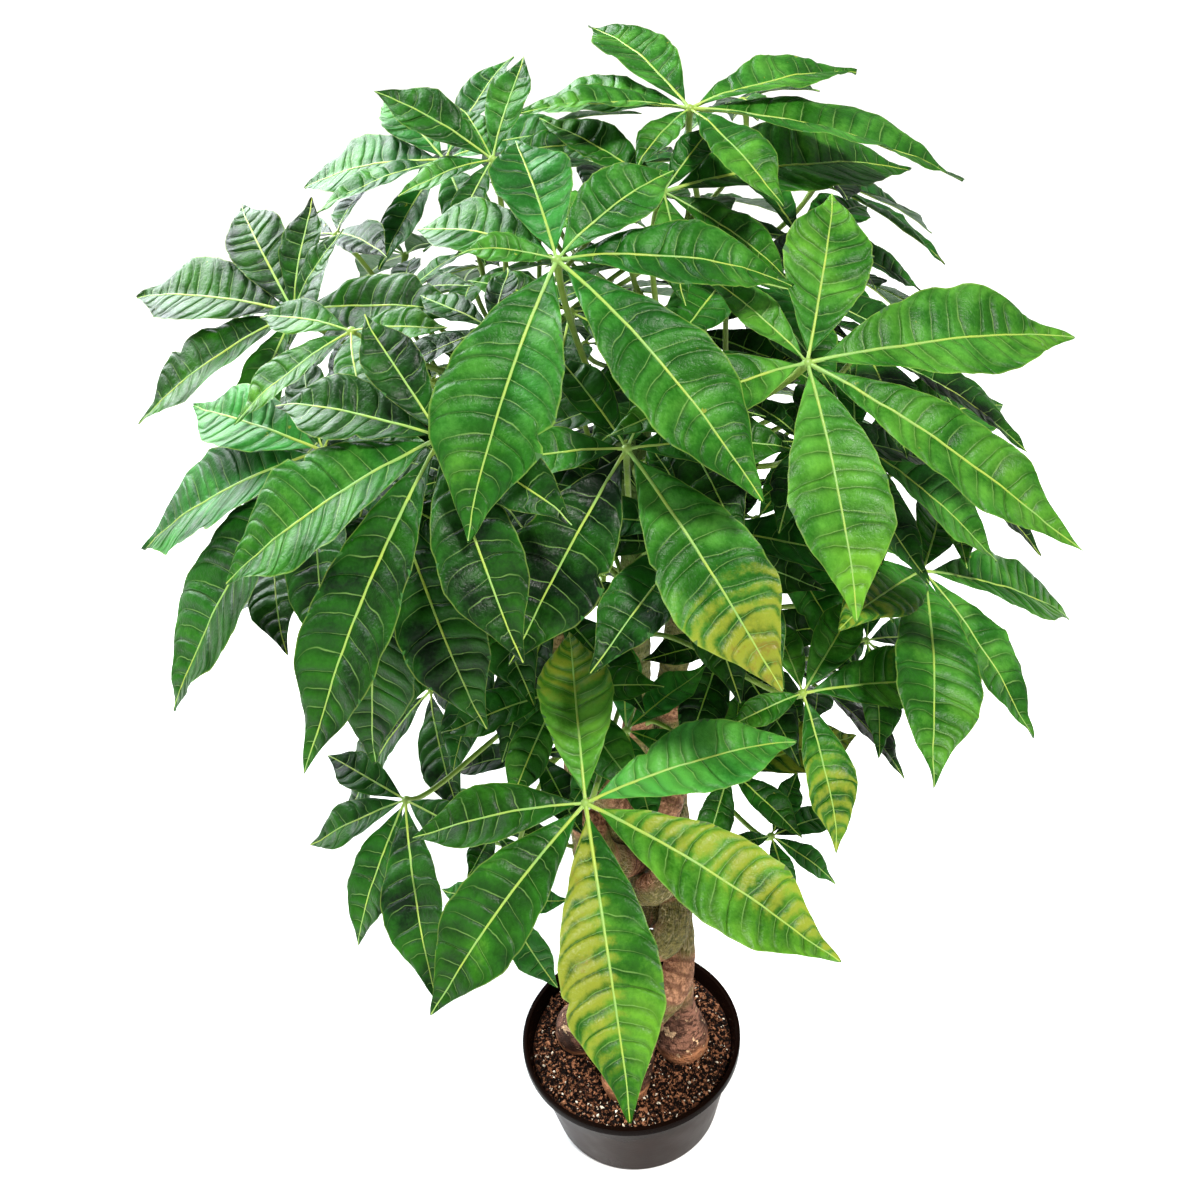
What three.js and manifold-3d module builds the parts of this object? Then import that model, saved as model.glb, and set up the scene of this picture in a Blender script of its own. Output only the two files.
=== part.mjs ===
// Potted money tree: five braided stems in a nursery pot, under a crown of hand-shaped leaves.
// Millimetres, +Z up, origin at the middle of the pot's base. The photo looks along +Y from the front.
import * as THREE from 'three';
import * as BufferGeometryUtils from 'three/addons/utils/BufferGeometryUtils.js';
import Module from 'manifold-3d';

const wasm = await Module();
wasm.setup();

const deg = Math.PI / 180;
const upward = new THREE.Vector3(0, 0, 1);

// Pot and soil
const potRimRadius = 127;
const potHeight = 120;
const potBaseRadius = 98;
const potWall = 2;
const potLipWidth = 5;
const potLipDepth = 11;
const potFootBevel = 3;
const roundSteps = 48;
const drainHoleRadius = 6;
const drainHoleRing = 80;
const drainHoleCount = 6;
const drainHoleSides = 16;
const seatGap = 0.3;
const soilEdgeHeight = 104;
const soilDome = 3;
const soilRipple = 1.2;

// Stems
const bulbHeadings = [-13, 53, 111, 169, 260];
const bulbRing = 60;
const bulbRadii = [31, 27, 26, 30, 28];
const buriedShare = 0.93;
const buriedDepth = 44;
const bulbTop = 129;
const braidStart = 205;
const braidPitch = 430;
const braidTurns = 0.8;
const braidWide = 44;
const braidDeep = 41;
const braidEase = 40;
const strandRadius = 15.6;
const strandOrder = [0, 1, 3, 2, 4];
const trunkShift = 18;
const spreadHeadings = [285, -20, 215, 60, 135];
const spreadRadius = 78;
const stemTops = [930, 965, 985, 955, 940];
const stemTipRadius = 7;
const stemSides = 8;
const braidEnd = braidStart + braidTurns * braidPitch;
const stemFoot = soilEdgeHeight - buriedDepth;

// Leaves
const petioleRadius = 2.6;
const petioleSteps = 4;
const petioleGap = 0.6;
const petioleOutward = 0.72;
const petioleUpward = 0.7;
const petiolePull = 0.33;
const petioleLengthShare = 1.1;
const flattestStart = 0.5;
const lowestLeaf = 572;
const lowestBladePoint = 125;
const topLeafDrop = 12;
const hubRadius = 4.2;
const hubReach = 6.5;
const hubRise = 1.7;
const bladeHalfThick = 1.1;
const bladeWidthShare = 0.36;
const bladeFold = 12;
const bladeStart = -8;
const bladeFoot = 0.04;
const bladeFallOffFace = 0.65;
const bladeFallPlumb = 0.35;
const innerDroop = 26;
const bladeStations = [0.2, 0.45, 0.72];

// Clear distances between the centres of the test points
const bladeToBlade = 9;
const bladeToPetiole = 8;
const petioleToPetiole = 8;
const sisterBlades = 6.5;
const sisterFreeShare = 0.3;
const bladeToStem = 5;
const petioleToStem = 4.5;
const bladeTestStep = 8;
const petioleTestStep = 5;
const stemTestStart = 110;
const startPointsLeftOut = 4;
const acrossBlade = [-0.93, -0.62, -0.31, 0, 0.31, 0.62, 0.93];

// The leaves seen in the photo. Hub in mm, the way the leaf faces as heading and tilt from upright,
// its droop along each leaflet, and its fan of leaflets as azimuth, length and, where broad, width.
const seenLeaves = [
  { hub: [100, -20, 1134], face: [-80, 22], droop: 25,
    fan: [[-165, 146], [-130, 142], [-95, 120], [105, 146], [72, 206], [17, 115], [-46, 75]] },
  { hub: [0, -190, 1088], face: [-90, 40], droop: 38,
    fan: [[-24, 182, 76], [37, 195, 66], [87, 150], [129, 100, 46], [-175, 110, 50], [-128, 120],
      [-93, 60]] },
  { hub: [150, -200, 1013], face: [-70, 45], droop: 20,
    fan: [[84, 203, 74], [40, 217, 60], [-10, 168, 66], [-85, 142], [-150, 85], [149, 132, 58]] },
  { hub: [-14, -290, 745], face: [-90, 32], droop: 38,
    fan: [[4, 210, 66], [56, 206, 66], [107, 166, 56], [-179, 146, 54], [-88, 128], [-46, 182, 60]] },
  { hub: [20, -150, 692], face: [-90, 30], droop: 20,
    fan: [[125, 88], [178, 82], [62, 70], [-105, 65], [-50, 80], [10, 85]] },
  { hub: [152, -200, 753], face: [-60, 40], droop: 25,
    fan: [[72, 158], [-13, 120], [118, 100], [158, 85], [-95, 65]] },
  { hub: [260, -120, 800], face: [-30, 40], droop: 22,
    fan: [[42, 188], [-21, 152], [-66, 195], [-104, 152], [98, 120], [155, 100], [-150, 90]] },
  { hub: [-202, -20, 1014], face: [-120, 45], droop: 25,
    fan: [[-92, 179], [-52, 166], [-133, 135], [-172, 94], [93, 147], [140, 77], [-10, 125]] },
  { hub: [-42, 5, 1106], face: [-100, 38], droop: 25,
    fan: [[-152, 60], [160, 90], [-72, 75], [-113, 105], [-20, 70], [40, 80], [100, 85]] },
  { hub: [-172, -150, 959], face: [-135, 50], droop: 25,
    fan: [[-18, 235], [-56, 220], [-132, 90], [-93, 150], [30, 150], [165, 90], [100, 120]] },
  { hub: [33, -225, 977], face: [-90, 50], droop: 26,
    fan: [[-34, 156, 66], [28, 182, 72], [-90, 100], [88, 110], [150, 80], [-150, 80]] },
  { hub: [135, -165, 576], face: [-40, 35], droop: 22,
    fan: [[15, 70], [62, 78], [106, 68], [-118, 45], [-40, 62]] },
  { hub: [76, -60, 1089], face: [-60, 40], droop: 25,
    fan: [[86, 233], [35, 112], [-155, 108], [125, 105], [-20, 90], [-90, 100]] },
  { hub: [-80, -230, 998], face: [-110, 50], droop: 28,
    fan: [[-56, 182, 74], [-18, 232, 64], [22, 150], [-100, 130], [64, 120], [-138, 100]] },
  { hub: [-120, -200, 942], face: [-110, 60], droop: 28,
    fan: [[26, 165], [-8, 195], [-42, 125], [68, 95], [-82, 90]] },
  { hub: [212, -80, 897], face: [-50, 40], droop: 25,
    fan: [[81, 190], [22, 150], [-32, 110], [-90, 110], [140, 110]] },
  { hub: [-85, 100, 1088], face: [-120, 40], droop: 25,
    fan: [[-125, 114], [-88, 167], [-52, 113], [-16, 104], [40, 110], [110, 120], [170, 110]] },
  { hub: [194, 60, 1011], face: [-40, 35], droop: 25,
    fan: [[44, 133], [92, 132], [0, 110], [-50, 110], [-120, 120], [160, 120]] },
  { hub: [-160, -180, 665], face: [-130, 50], droop: 25,
    fan: [[-2, 128], [38, 156], [-46, 105], [-92, 90], [90, 90]] },
  { hub: [-107, -120, 480], face: [-110, 64], droop: 25,
    fan: [[38, 97], [-34, 82], [100, 66], [-88, 64]] },
  { hub: [-157, 0, 638], face: [-150, 55], droop: 25,
    fan: [[-18, 190], [58, 128], [-70, 120], [110, 90]] },
  { hub: [-28, -170, 752], face: [-100, 40], droop: 25,
    fan: [[-70, 101], [-22, 95], [32, 104], [90, 80]] },
  { hub: [106, -120, 613], face: [-60, 40], droop: 25,
    fan: [[10, 85], [78, 132], [-48, 84], [140, 80]] },
  { hub: [-147, -100, 1024], face: [-120, 45], droop: 25,
    fan: [[95, 80], [45, 85], [-40, 108], [-95, 90]] },
];

// The leaves glimpsed behind those: hub, face and the length of the fan's longest leaflet.
const glimpsedLeaves = [
  { hub: [140, -60, 825], face: [-50, 40], reach: 140 },
  { hub: [-90, -100, 845], face: [-115, 45], reach: 150 },
  { hub: [70, -150, 860], face: [-80, 40], reach: 125 },
  { hub: [-10, -80, 925], face: [-90, 45], reach: 150 },
  { hub: [100, 40, 950], face: [-60, 40], reach: 140 },
  { hub: [-115, 45, 925], face: [-150, 45], reach: 140 },
  { hub: [235, -60, 695], face: [-30, 45], reach: 120 },
  { hub: [-180, 90, 1040], face: [-160, 35], reach: 140 },
  { hub: [285, -10, 845], face: [-15, 40], reach: 135 },
  { hub: [-80, -40, 715], face: [-130, 45], reach: 130 },
  { hub: [110, -60, 705], face: [-50, 45], reach: 125 },
  { hub: [-245, -60, 850], face: [-150, 40], reach: 130 },
  { hub: [5, -60, 1010], face: [-90, 35], reach: 120 },
  { hub: [55, 20, 830], face: [-100, 30], reach: 130 },
  { hub: [-65, 10, 800], face: [-120, 35], reach: 125 },
  { hub: [-20, 185, 1085], face: [110, 25], reach: 140 },
  { hub: [215, 100, 1045], face: [20, 35], reach: 140 },
];
const glimpsedFan = [0, 55, -55, 112, -112];
const fanSwing = 12;
const fanUneven = 0.2;

// The leaves at the back, which the photo hides, stand on a shell round the crown.
const hiddenLeaves = 8;
const hiddenStart = 20;
const goldenAngle = 137.5;
const goldenShare = 0.618034;
const hiddenBand = 0.9;
const crownCentre = [28, 10, 860];
const crownShell = [225, 225, 265];
const hiddenHubSpace = 82;
const hiddenFan = [0, 49, -49, 98, -98, 147];
const hiddenDepth = 0.72;
const hiddenLean = 0.6;
const hiddenLift = 0.8;
const hiddenLength = [118, 168];
const randomSeed = 19;

// Ways to move a leaflet that is in the way: extra lift, turn and roll in degrees.
const leafletMoves = [[0, 0, 0], [7, 0, 6], [-7, 0, -6], [0, 6, 0], [0, -6, 0], [12, 0, 8], [-12, 0, -8],
  [8, 7, 0], [8, -7, 0], [-8, 7, 0], [-8, -7, 0], [16, 4, 10], [16, -4, -10], [-18, 4, 8], [-18, -4, -8],
  [0, 11, 8], [0, -11, -8], [24, 0, 0], [-26, 0, 0], [20, 9, 0], [20, -9, 0], [-22, 9, 0], [-22, -9, 0]];
const shorterTries = [1, 0.88, 0.76, 0.64, 0.52];
const petioleBulges = [0, 12, -12, 24, -24, 36, -36, 48, -48, 60, -60, 75, -75, 90, -90, 110, -110];

let randomState = randomSeed;
function random() {
  randomState = (Math.imul(randomState, 1664525) + 1013904223) >>> 0;
  return randomState / 4294967296;
}

function smooth(t) {
  const clamped = Math.min(1, Math.max(0, t));
  return clamped * clamped * (3 - 2 * clamped);
}

// A plain ramp whose corner at zero is rounded over the braid's ease length.
function easedRamp(s) {
  if (s < -braidEase) return 0;
  if (s > braidEase) return s;
  return (s + braidEase) ** 2 / (4 * braidEase);
}

function sum(a, amountA, b, amountB) {
  return a.clone().multiplyScalar(amountA).addScaledVector(b, amountB);
}

function mod(angle) {
  return ((angle % 360) + 360) % 360;
}

function heading(degrees) {
  return new THREE.Vector3(Math.cos(degrees * deg), Math.sin(degrees * deg), 0);
}

function meshGeometry(points, faces) {
  const geometry = new THREE.BufferGeometry();
  const numbers = points.flatMap((point) => point.toArray());
  geometry.setAttribute('position', new THREE.Float32BufferAttribute(numbers, 3));
  geometry.setIndex(faces.flat());
  return geometry;
}

// Solids for cutting
function solidOf(geometry) {
  const bare = geometry.clone();
  bare.deleteAttribute('normal');
  bare.deleteAttribute('uv');
  const merged = BufferGeometryUtils.mergeVertices(bare, 1e-3);
  return new wasm.Manifold(new wasm.Mesh({
    numProp: 3,
    vertProperties: merged.attributes.position.array,
    triVerts: Uint32Array.from(merged.index.array),
  }));
}

function geometryOf(solid) {
  const mesh = solid.getMesh();
  const geometry = new THREE.BufferGeometry();
  geometry.setAttribute('position', new THREE.BufferAttribute(mesh.vertProperties, 3));
  geometry.setIndex(new THREE.BufferAttribute(mesh.triVerts, 1));
  return geometry;
}

function cutAll(geometry, cutters) {
  let solid = solidOf(geometry);
  for (const cutter of cutters) solid = solid.subtract(solidOf(cutter));
  return geometryOf(solid);
}

function lathe(profile) {
  const geometry = new THREE.LatheGeometry(profile.map(([r, z]) => new THREE.Vector2(r, z)), roundSteps);
  geometry.rotateX(Math.PI / 2);
  return geometry;
}

function uprightCylinder(radius, from, to, sides, x, y) {
  const geometry = new THREE.CylinderGeometry(radius, radius, to - from, sides);
  geometry.rotateX(Math.PI / 2);
  geometry.translate(x, y, (from + to) / 2);
  return geometry;
}

// Pot
function potOuterRadius(z) {
  return potBaseRadius + (potRimRadius - potLipWidth - potBaseRadius) * z / potHeight;
}

function potGeometry() {
  const lipFoot = potHeight - potLipDepth;
  const outline = [
    [0, 0],
    [potBaseRadius - potFootBevel, 0],
    [potOuterRadius(potFootBevel), potFootBevel],
    [potOuterRadius(lipFoot - 2), lipFoot - 2],
    [potRimRadius - 1.5, lipFoot],
    [potRimRadius, lipFoot + 2],
    [potRimRadius, potHeight - 2],
    [potRimRadius - 1.5, potHeight],
    [potRimRadius - potLipWidth, potHeight],
    [potOuterRadius(lipFoot) - potWall, lipFoot],
    [potOuterRadius(potWall) - potWall, potWall],
    [0, potWall],
  ];
  const holes = [];
  for (let i = 0; i < drainHoleCount; i += 1) {
    const place = heading(360 * (i + 0.5) / drainHoleCount).multiplyScalar(drainHoleRing);
    holes.push(uprightCylinder(drainHoleRadius, -5, 10, drainHoleSides, place.x, place.y));
  }
  return cutAll(lathe(outline), holes);
}

// Soil
function soilGeometry() {
  const insideRadius = (z) => potOuterRadius(z) - potWall - seatGap;
  const floor = potWall + seatGap;
  const edge = insideRadius(soilEdgeHeight);
  const outline = [[0, floor], [insideRadius(floor), floor], [edge, soilEdgeHeight]];
  for (const share of [0.9, 0.72, 0.5, 0.28]) {
    outline.push([edge * share, soilEdgeHeight + soilDome * (1 - share ** 2)]);
  }
  outline.push([0, soilEdgeHeight + soilDome]);
  const block = lathe(outline);
  const spots = block.attributes.position;
  for (let i = 0; i < spots.count; i += 1) {
    const x = spots.getX(i);
    const y = spots.getY(i);
    if (spots.getZ(i) > soilEdgeHeight + 0.1) {
      spots.setZ(i, spots.getZ(i) + soilRipple * Math.sin(x / 19 + 1) * Math.cos(y / 16));
    }
  }
  const holes = bulbHeadings.map((angle, stem) => {
    const place = heading(angle).multiplyScalar(bulbRing);
    const radius = buriedRadius(stem) + seatGap;
    return uprightCylinder(radius, stemFoot - seatGap, potHeight, roundSteps / 2, place.x, place.y);
  });
  return cutAll(block, holes);
}

// Stems
function stemCentre(stem, z) {
  const bulb = heading(bulbHeadings[stem]).multiplyScalar(bulbRing);
  const turn = 2 * Math.PI * ((easedRamp(z - braidStart) - easedRamp(z - braidEnd)) / braidPitch
    + strandOrder[stem] / bulbHeadings.length);
  const strand = new THREE.Vector3(braidWide * Math.cos(turn), braidDeep * Math.sin(2 * turn), 0);
  strand.x += trunkShift * smooth((z - soilEdgeHeight) / (braidStart - soilEdgeHeight));
  const spread = heading(spreadHeadings[stem]).multiplyScalar(spreadRadius);
  spread.x += trunkShift;
  const rise = smooth((z - soilEdgeHeight - 5) / (braidStart - soilEdgeHeight - 5));
  const lean = smooth((z - braidEnd + 30) / (900 - braidEnd));
  const centre = bulb.lerp(strand, rise).lerp(spread, lean);
  centre.z = z;
  return centre;
}

function buriedRadius(stem) {
  return buriedShare * bulbRadii[stem];
}

function stemRadius(stem, z) {
  const buried = buriedRadius(stem);
  const bulb = bulbRadii[stem];
  if (z < bulbTop) return buried + (bulb - buried) * smooth((z - soilEdgeHeight - 5) / 9);
  if (z < braidEnd) {
    return bulb + (strandRadius - bulb) * smooth((z - bulbTop) / (braidStart - 18 - bulbTop));
  }
  return strandRadius + (stemTipRadius - strandRadius) * (z - braidEnd) / (stemTops[stem] - braidEnd);
}

function stemFrame(stem, z) {
  const tangent = stemCentre(stem, z + 1).sub(stemCentre(stem, z - 1)).normalize();
  const across = new THREE.Vector3(1, 0, 0).addScaledVector(tangent, -tangent.x).normalize();
  return { tangent, across, deep: tangent.clone().cross(across) };
}

function stemHeights(stem) {
  const heights = [stemFoot, soilEdgeHeight + 5, soilEdgeHeight + 14, bulbTop + 6, 146, 161, 174];
  for (let z = 186; z < braidEnd + 25; z += 12.5) heights.push(z);
  const rest = stemTops[stem] - heights.at(-1);
  for (let i = 1; i <= 8; i += 1) heights.push(heights.at(-1) + rest / 8);
  return heights;
}

// The middle of the faceted stem, which runs straight from ring to ring.
function facetedCentre(stem, z) {
  const heights = stemHeights(stem);
  const above = heights.findIndex((height) => height >= z);
  const [low, high] = heights.slice(above - 1, above + 1);
  return stemCentre(stem, low).lerp(stemCentre(stem, high), (z - low) / (high - low));
}

function stemGeometry(stem) {
  const points = [];
  const faces = [];
  const heights = stemHeights(stem);
  heights.forEach((z, ring) => {
    const centre = stemCentre(stem, z);
    const { across, deep } = stemFrame(stem, z);
    const level = ring < 2;
    for (let side = 0; side < stemSides; side += 1) {
      const angle = 2 * Math.PI * side / stemSides;
      const spot = centre.clone();
      const radius = stemRadius(stem, z);
      spot.addScaledVector(level ? new THREE.Vector3(1, 0, 0) : across, radius * Math.cos(angle));
      spot.addScaledVector(level ? new THREE.Vector3(0, 1, 0) : deep, radius * Math.sin(angle));
      points.push(spot);
      const next = (side + 1) % stemSides;
      if (ring > 0) {
        const low = (ring - 1) * stemSides;
        const high = ring * stemSides;
        faces.push([low + side, low + next, high + next], [low + side, high + next, high + side]);
      }
    }
  });
  const last = (heights.length - 1) * stemSides;
  points.push(stemCentre(stem, stemFoot), stemCentre(stem, heights.at(-1)));
  for (let side = 0; side < stemSides; side += 1) {
    const next = (side + 1) % stemSides;
    faces.push([points.length - 2, next, side], [points.length - 1, last + side, last + next]);
  }
  return meshGeometry(points, faces);
}

// Leaf frames: face is along the petiole's end, down is the fan's azimuth zero, side completes them.
function leafFrame(leaf) {
  const [toward, tilt] = leaf.face;
  const level = heading(toward);
  const face = sum(level, Math.sin(tilt * deg), upward, Math.cos(tilt * deg));
  const down = sum(level, Math.cos(tilt * deg), upward, -Math.sin(tilt * deg));
  return { hub: new THREE.Vector3(...leaf.hub), face, down, side: face.clone().cross(down) };
}

function ruledFan(fan, length) {
  const swing = fanSwing * (2 * random() - 1);
  const share = (azimuth) => 1 - fanUneven + fanUneven * Math.cos(azimuth * deg);
  return fan.map((azimuth) => [azimuth + swing, length * share(azimuth)]);
}

function glimpsedLeafList() {
  return glimpsedLeaves.map(({ hub, face, reach }) => (
    { hub, face, droop: innerDroop, fan: ruledFan(glimpsedFan, reach) }));
}

// Golden angle steps round the shell, keeping only the spots that stand clear of the other hubs.
function hiddenLeafList(known) {
  const list = [];
  for (let i = hiddenStart; list.length < hiddenLeaves; i += 1) {
    const height = hiddenBand * (1 - 2 * ((i * goldenShare) % 1));
    const outward = heading(i * goldenAngle).multiplyScalar(Math.sqrt(1 - height ** 2));
    outward.z = height;
    const depth = hiddenDepth + (1 - hiddenDepth) * random();
    const length = hiddenLength[0] + (hiddenLength[1] - hiddenLength[0]) * random();
    const fan = ruledFan(hiddenFan, length);
    const hub = crownCentre.map((c, k) => Math.round(c + crownShell[k] * depth * outward.getComponent(k)));
    const place = new THREE.Vector3(...hub);
    const others = [...known, ...list].map((leaf) => new THREE.Vector3(...leaf.hub));
    if (others.some((other) => other.distanceTo(place) < hiddenHubSpace)) continue;
    outward.z = Math.max(outward.z, -hiddenLean / 2);
    const face = sum(outward, hiddenLean, upward, hiddenLift);
    const toward = Math.round(Math.atan2(face.y, face.x) / deg);
    const tilt = Math.round(Math.atan2(Math.hypot(face.x, face.y), face.z) / deg);
    list.push({ hub, face: [toward, tilt], droop: innerDroop, fan });
  }
  return list;
}

function turnBetween(a, b) {
  return Math.abs(mod(a - b + 180) - 180);
}

// Each leaf grows from the stem on its side of the crown, the highest leaf from the stem's top.
function attachLeaves(leaves) {
  leaves.forEach((leaf) => {
    const way = Math.atan2(leaf.hub[1], leaf.hub[0] - trunkShift) / deg;
    const gaps = spreadHeadings.map((angle) => turnBetween(angle, way));
    leaf.stem = gaps.indexOf(Math.min(...gaps));
  });
  spreadHeadings.forEach((angle, stem) => {
    const own = leaves.filter((leaf) => leaf.stem === stem).sort((a, b) => a.hub[2] - b.hub[2]);
    const top = stemTops[stem] - topLeafDrop;
    own.forEach((leaf, i) => {
      leaf.baseHeight = lowestLeaf + (top - lowestLeaf) * (i + 0.6) / (own.length - 0.4);
    });
  });
}

// The petiole's start, its outward way there, and its route from the stem to the hub.
function petioleRoute(leaf, bulge) {
  const { hub, face } = leafFrame(leaf);
  const root = facetedCentre(leaf.stem, leaf.baseHeight);
  const { tangent, across, deep } = stemFrame(leaf.stem, leaf.baseHeight);
  const outward = hub.clone().sub(root);
  outward.addScaledVector(tangent, -outward.dot(tangent)).normalize();
  const facet = 360 / stemSides;
  const angle = Math.atan2(outward.dot(deep), outward.dot(across)) / deg;
  const offFlat = (mod(angle) % facet) - facet / 2;
  const flatRadius = stemRadius(leaf.stem, leaf.baseHeight) * Math.cos(facet / 2 * deg);
  const start = sum(root, 1, outward, flatRadius / Math.cos(offFlat * deg) + petioleGap);
  const distance = start.distanceTo(hub);
  const sideways = outward.clone().cross(upward).normalize().multiplyScalar(bulge);
  const pull = petiolePull * distance;
  const leave = sum(outward, petioleOutward * pull, upward, petioleUpward * pull);
  const first = sum(start, 1, sideways, 0.4).add(leave);
  const climb = Math.min(1, Math.max(0.2, 0.6 + (hub.z - start.z) / distance));
  const second = sum(hub, 1, face, -pull * climb).add(sideways);
  const end = sum(hub, 1, face, -petioleRadius - 0.4);
  return { curve: new THREE.CubicBezierCurve3(start, first, second, end), outward };
}

// Leaflets
function bladeHalfWidth(leaflet, t) {
  const share = Math.max(0, t - bladeFoot) / (1 - bladeFoot);
  return leaflet.width / 2 * Math.sin(Math.PI * share ** 1.159) ** 0.85;
}

// The blade's middle line is an arc that first rises a little from the hub and then droops.
function bladeFrame(leaflet, t) {
  const { hub, face, down, side } = leaflet.frame;
  const out = sum(down, Math.cos(leaflet.azimuth * deg), side, Math.sin(leaflet.azimuth * deg));
  const fall = sum(face, -bladeFallOffFace, upward, -bladeFallPlumb);
  fall.addScaledVector(out, -fall.dot(out)).normalize();
  const first = (bladeStart - leaflet.lift) * deg;
  const curl = leaflet.droop * deg;
  const now = first + curl * t;
  const radius = leaflet.length / curl;
  const middle = sum(hub, 1, out, radius * (Math.sin(now) - Math.sin(first)));
  middle.addScaledVector(fall, radius * (Math.cos(first) - Math.cos(now)));
  const along = sum(out, Math.cos(now), fall, Math.sin(now));
  const above = sum(out, Math.sin(now), fall, -Math.cos(now));
  const left = above.clone().cross(along);
  const roll = leaflet.roll * deg * smooth(t * 4);
  return {
    middle,
    left: sum(left, Math.cos(roll), above, Math.sin(roll)),
    above: sum(above, Math.cos(roll), left, -Math.sin(roll)),
  };
}

function bladePoint(leaflet, t, across) {
  const { middle, left, above } = bladeFrame(leaflet, t);
  const half = bladeHalfWidth(leaflet, t);
  middle.addScaledVector(left, across * half);
  return middle.addScaledVector(above, Math.abs(across) * half * Math.tan(bladeFold * deg));
}

// Leaflets and petioles are kept apart by test points spread over them.
function tooClose(points, others, space) {
  const box = new THREE.Box3().setFromPoints(points).expandByScalar(space);
  for (const other of others) {
    if (!box.intersectsBox(other.box)) continue;
    for (const q of other.points) {
      if (!box.containsPoint(q)) continue;
      if (points.some((p) => p.distanceToSquared(q) < space * space)) return true;
    }
  }
  return false;
}

const stemTests = [];
stemTops.forEach((top, stem) => {
  for (let z = stemTestStart; z <= top; z += petioleTestStep) {
    stemTests.push({ centre: stemCentre(stem, z), radius: stemRadius(stem, z) });
  }
});

function hitsStem(points, space) {
  const hits = (spot, p) => p.distanceTo(spot.centre) < spot.radius + space;
  return stemTests.some((spot) => points.some((p) => hits(spot, p)));
}

function petioleTestPoints(curve) {
  const length = curve.v0.distanceTo(curve.v3) * petioleLengthShare;
  return curve.getPoints(Math.ceil(length / petioleTestStep));
}

function bladeTestPoints(leaflet, from) {
  const rows = Math.ceil(leaflet.length / bladeTestStep);
  const points = [];
  for (let i = 0; i < rows; i += 1) {
    const t = (i + 0.5) / rows;
    if (t < from) continue;
    for (const across of acrossBlade) points.push(bladePoint(leaflet, t, across));
  }
  points.push(bladePoint(leaflet, 1, 0));
  return points;
}

const blades = [];
const petioles = [];

function testSet(points, number) {
  return { points, box: new THREE.Box3().setFromPoints(points), number };
}

function placePetiole(leaf, number) {
  for (const bulge of petioleBulges) {
    const { curve, outward } = petioleRoute(leaf, bulge);
    const points = petioleTestPoints(curve);
    if (curve.getTangent(0).dot(outward) < flattestStart) continue;
    if (hitsStem(points.slice(startPointsLeftOut), petioleToStem)) continue;
    if (tooClose(points, petioles, petioleToPetiole)) continue;
    leaf.curve = curve;
    leaf.outward = outward;
    petioles.push(testSet(points, number));
    return;
  }
  console.warn(`leaf ${number + 1} has no clear petiole`);
}

function placeLeaflet(leaf, number, [azimuth, length, width]) {
  const frame = leafFrame(leaf);
  const sisters = blades.filter((blade) => blade.number === number);
  const strangers = blades.filter((blade) => blade.number !== number);
  const otherPetioles = petioles.filter((petiole) => petiole.number !== number);
  const broad = width ?? length * bladeWidthShare;
  for (const share of shorterTries) {
    for (const [lift, turn, roll] of leafletMoves) {
      const leaflet = {
        frame,
        azimuth: azimuth + turn,
        length: length * share,
        width: broad * share,
        droop: leaf.droop,
        lift,
        roll,
      };
      const points = bladeTestPoints(leaflet, 0);
      if (points.some((p) => p.z < lowestBladePoint)) continue;
      if (tooClose(points, strangers, bladeToBlade)) continue;
      if (tooClose(points, otherPetioles, bladeToPetiole)) continue;
      if (hitsStem(points, bladeToStem)) continue;
      if (tooClose(bladeTestPoints(leaflet, sisterFreeShare), sisters, sisterBlades)) continue;
      blades.push(testSet(points, number));
      leaf.leaflets.push(leaflet);
      return;
    }
  }
  console.warn(`leaf ${number + 1} loses its leaflet at ${Math.round(azimuth)}`);
}

// One closed mesh for a leaf: its leaflets share the hub's rim, and the petiole closes it below.
function leafGeometry(leaf) {
  const { hub, face, down, side } = leafFrame(leaf);
  const leaflets = leaf.leaflets.sort((a, b) => mod(a.azimuth) - mod(b.azimuth));
  const count = leaflets.length;
  const points = [];
  const faces = [];
  const add = (point) => points.push(point.clone().sub(hub)) - 1;
  const around = (azimuth, radius, height) => {
    const way = sum(down, Math.cos(azimuth * deg), side, Math.sin(azimuth * deg));
    return sum(way, radius, face, height).add(hub);
  };

  const crown = add(around(0, 0, hubRise));
  const between = leaflets.map((leaflet, j) => {
    const next = leaflets[(j + 1) % count];
    return add(around(leaflet.azimuth + mod(next.azimuth - leaflet.azimuth) / 2, hubRadius, 0));
  });
  const under = leaflets.map((leaflet, j) => {
    const sections = [{
      L: between[j],
      R: between[(j + count - 1) % count],
      T: add(around(leaflet.azimuth, hubReach, hubRise)),
      B: add(around(leaflet.azimuth, hubReach, -bladeHalfThick)),
    }];
    for (const t of bladeStations) {
      const { middle, above } = bladeFrame(leaflet, t);
      sections.push({
        L: add(bladePoint(leaflet, t, 1)),
        R: add(bladePoint(leaflet, t, -1)),
        T: add(middle.clone().addScaledVector(above, bladeHalfThick)),
        B: add(middle.clone().addScaledVector(above, -bladeHalfThick)),
      });
    }
    const tip = add(bladePoint(leaflet, 1, 0));
    faces.push([crown, sections[0].R, sections[0].T], [crown, sections[0].T, sections[0].L]);
    for (let k = 1; k < sections.length; k += 1) {
      const a = sections[k - 1];
      const b = sections[k];
      faces.push([a.L, a.T, b.T], [a.L, b.T, b.L], [a.T, a.R, b.T], [a.R, b.R, b.T]);
      faces.push([a.L, b.L, b.B], [a.L, b.B, a.B], [a.R, a.B, b.B], [a.R, b.B, b.R]);
    }
    const end = sections.at(-1);
    faces.push([end.L, end.T, tip], [end.T, end.R, tip], [end.R, end.B, tip], [end.B, end.L, tip]);
    return sections[0].B;
  });
  addPetiole(leaf, leaflets, between, under, add, faces);
  return meshGeometry(points, faces);
}

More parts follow.
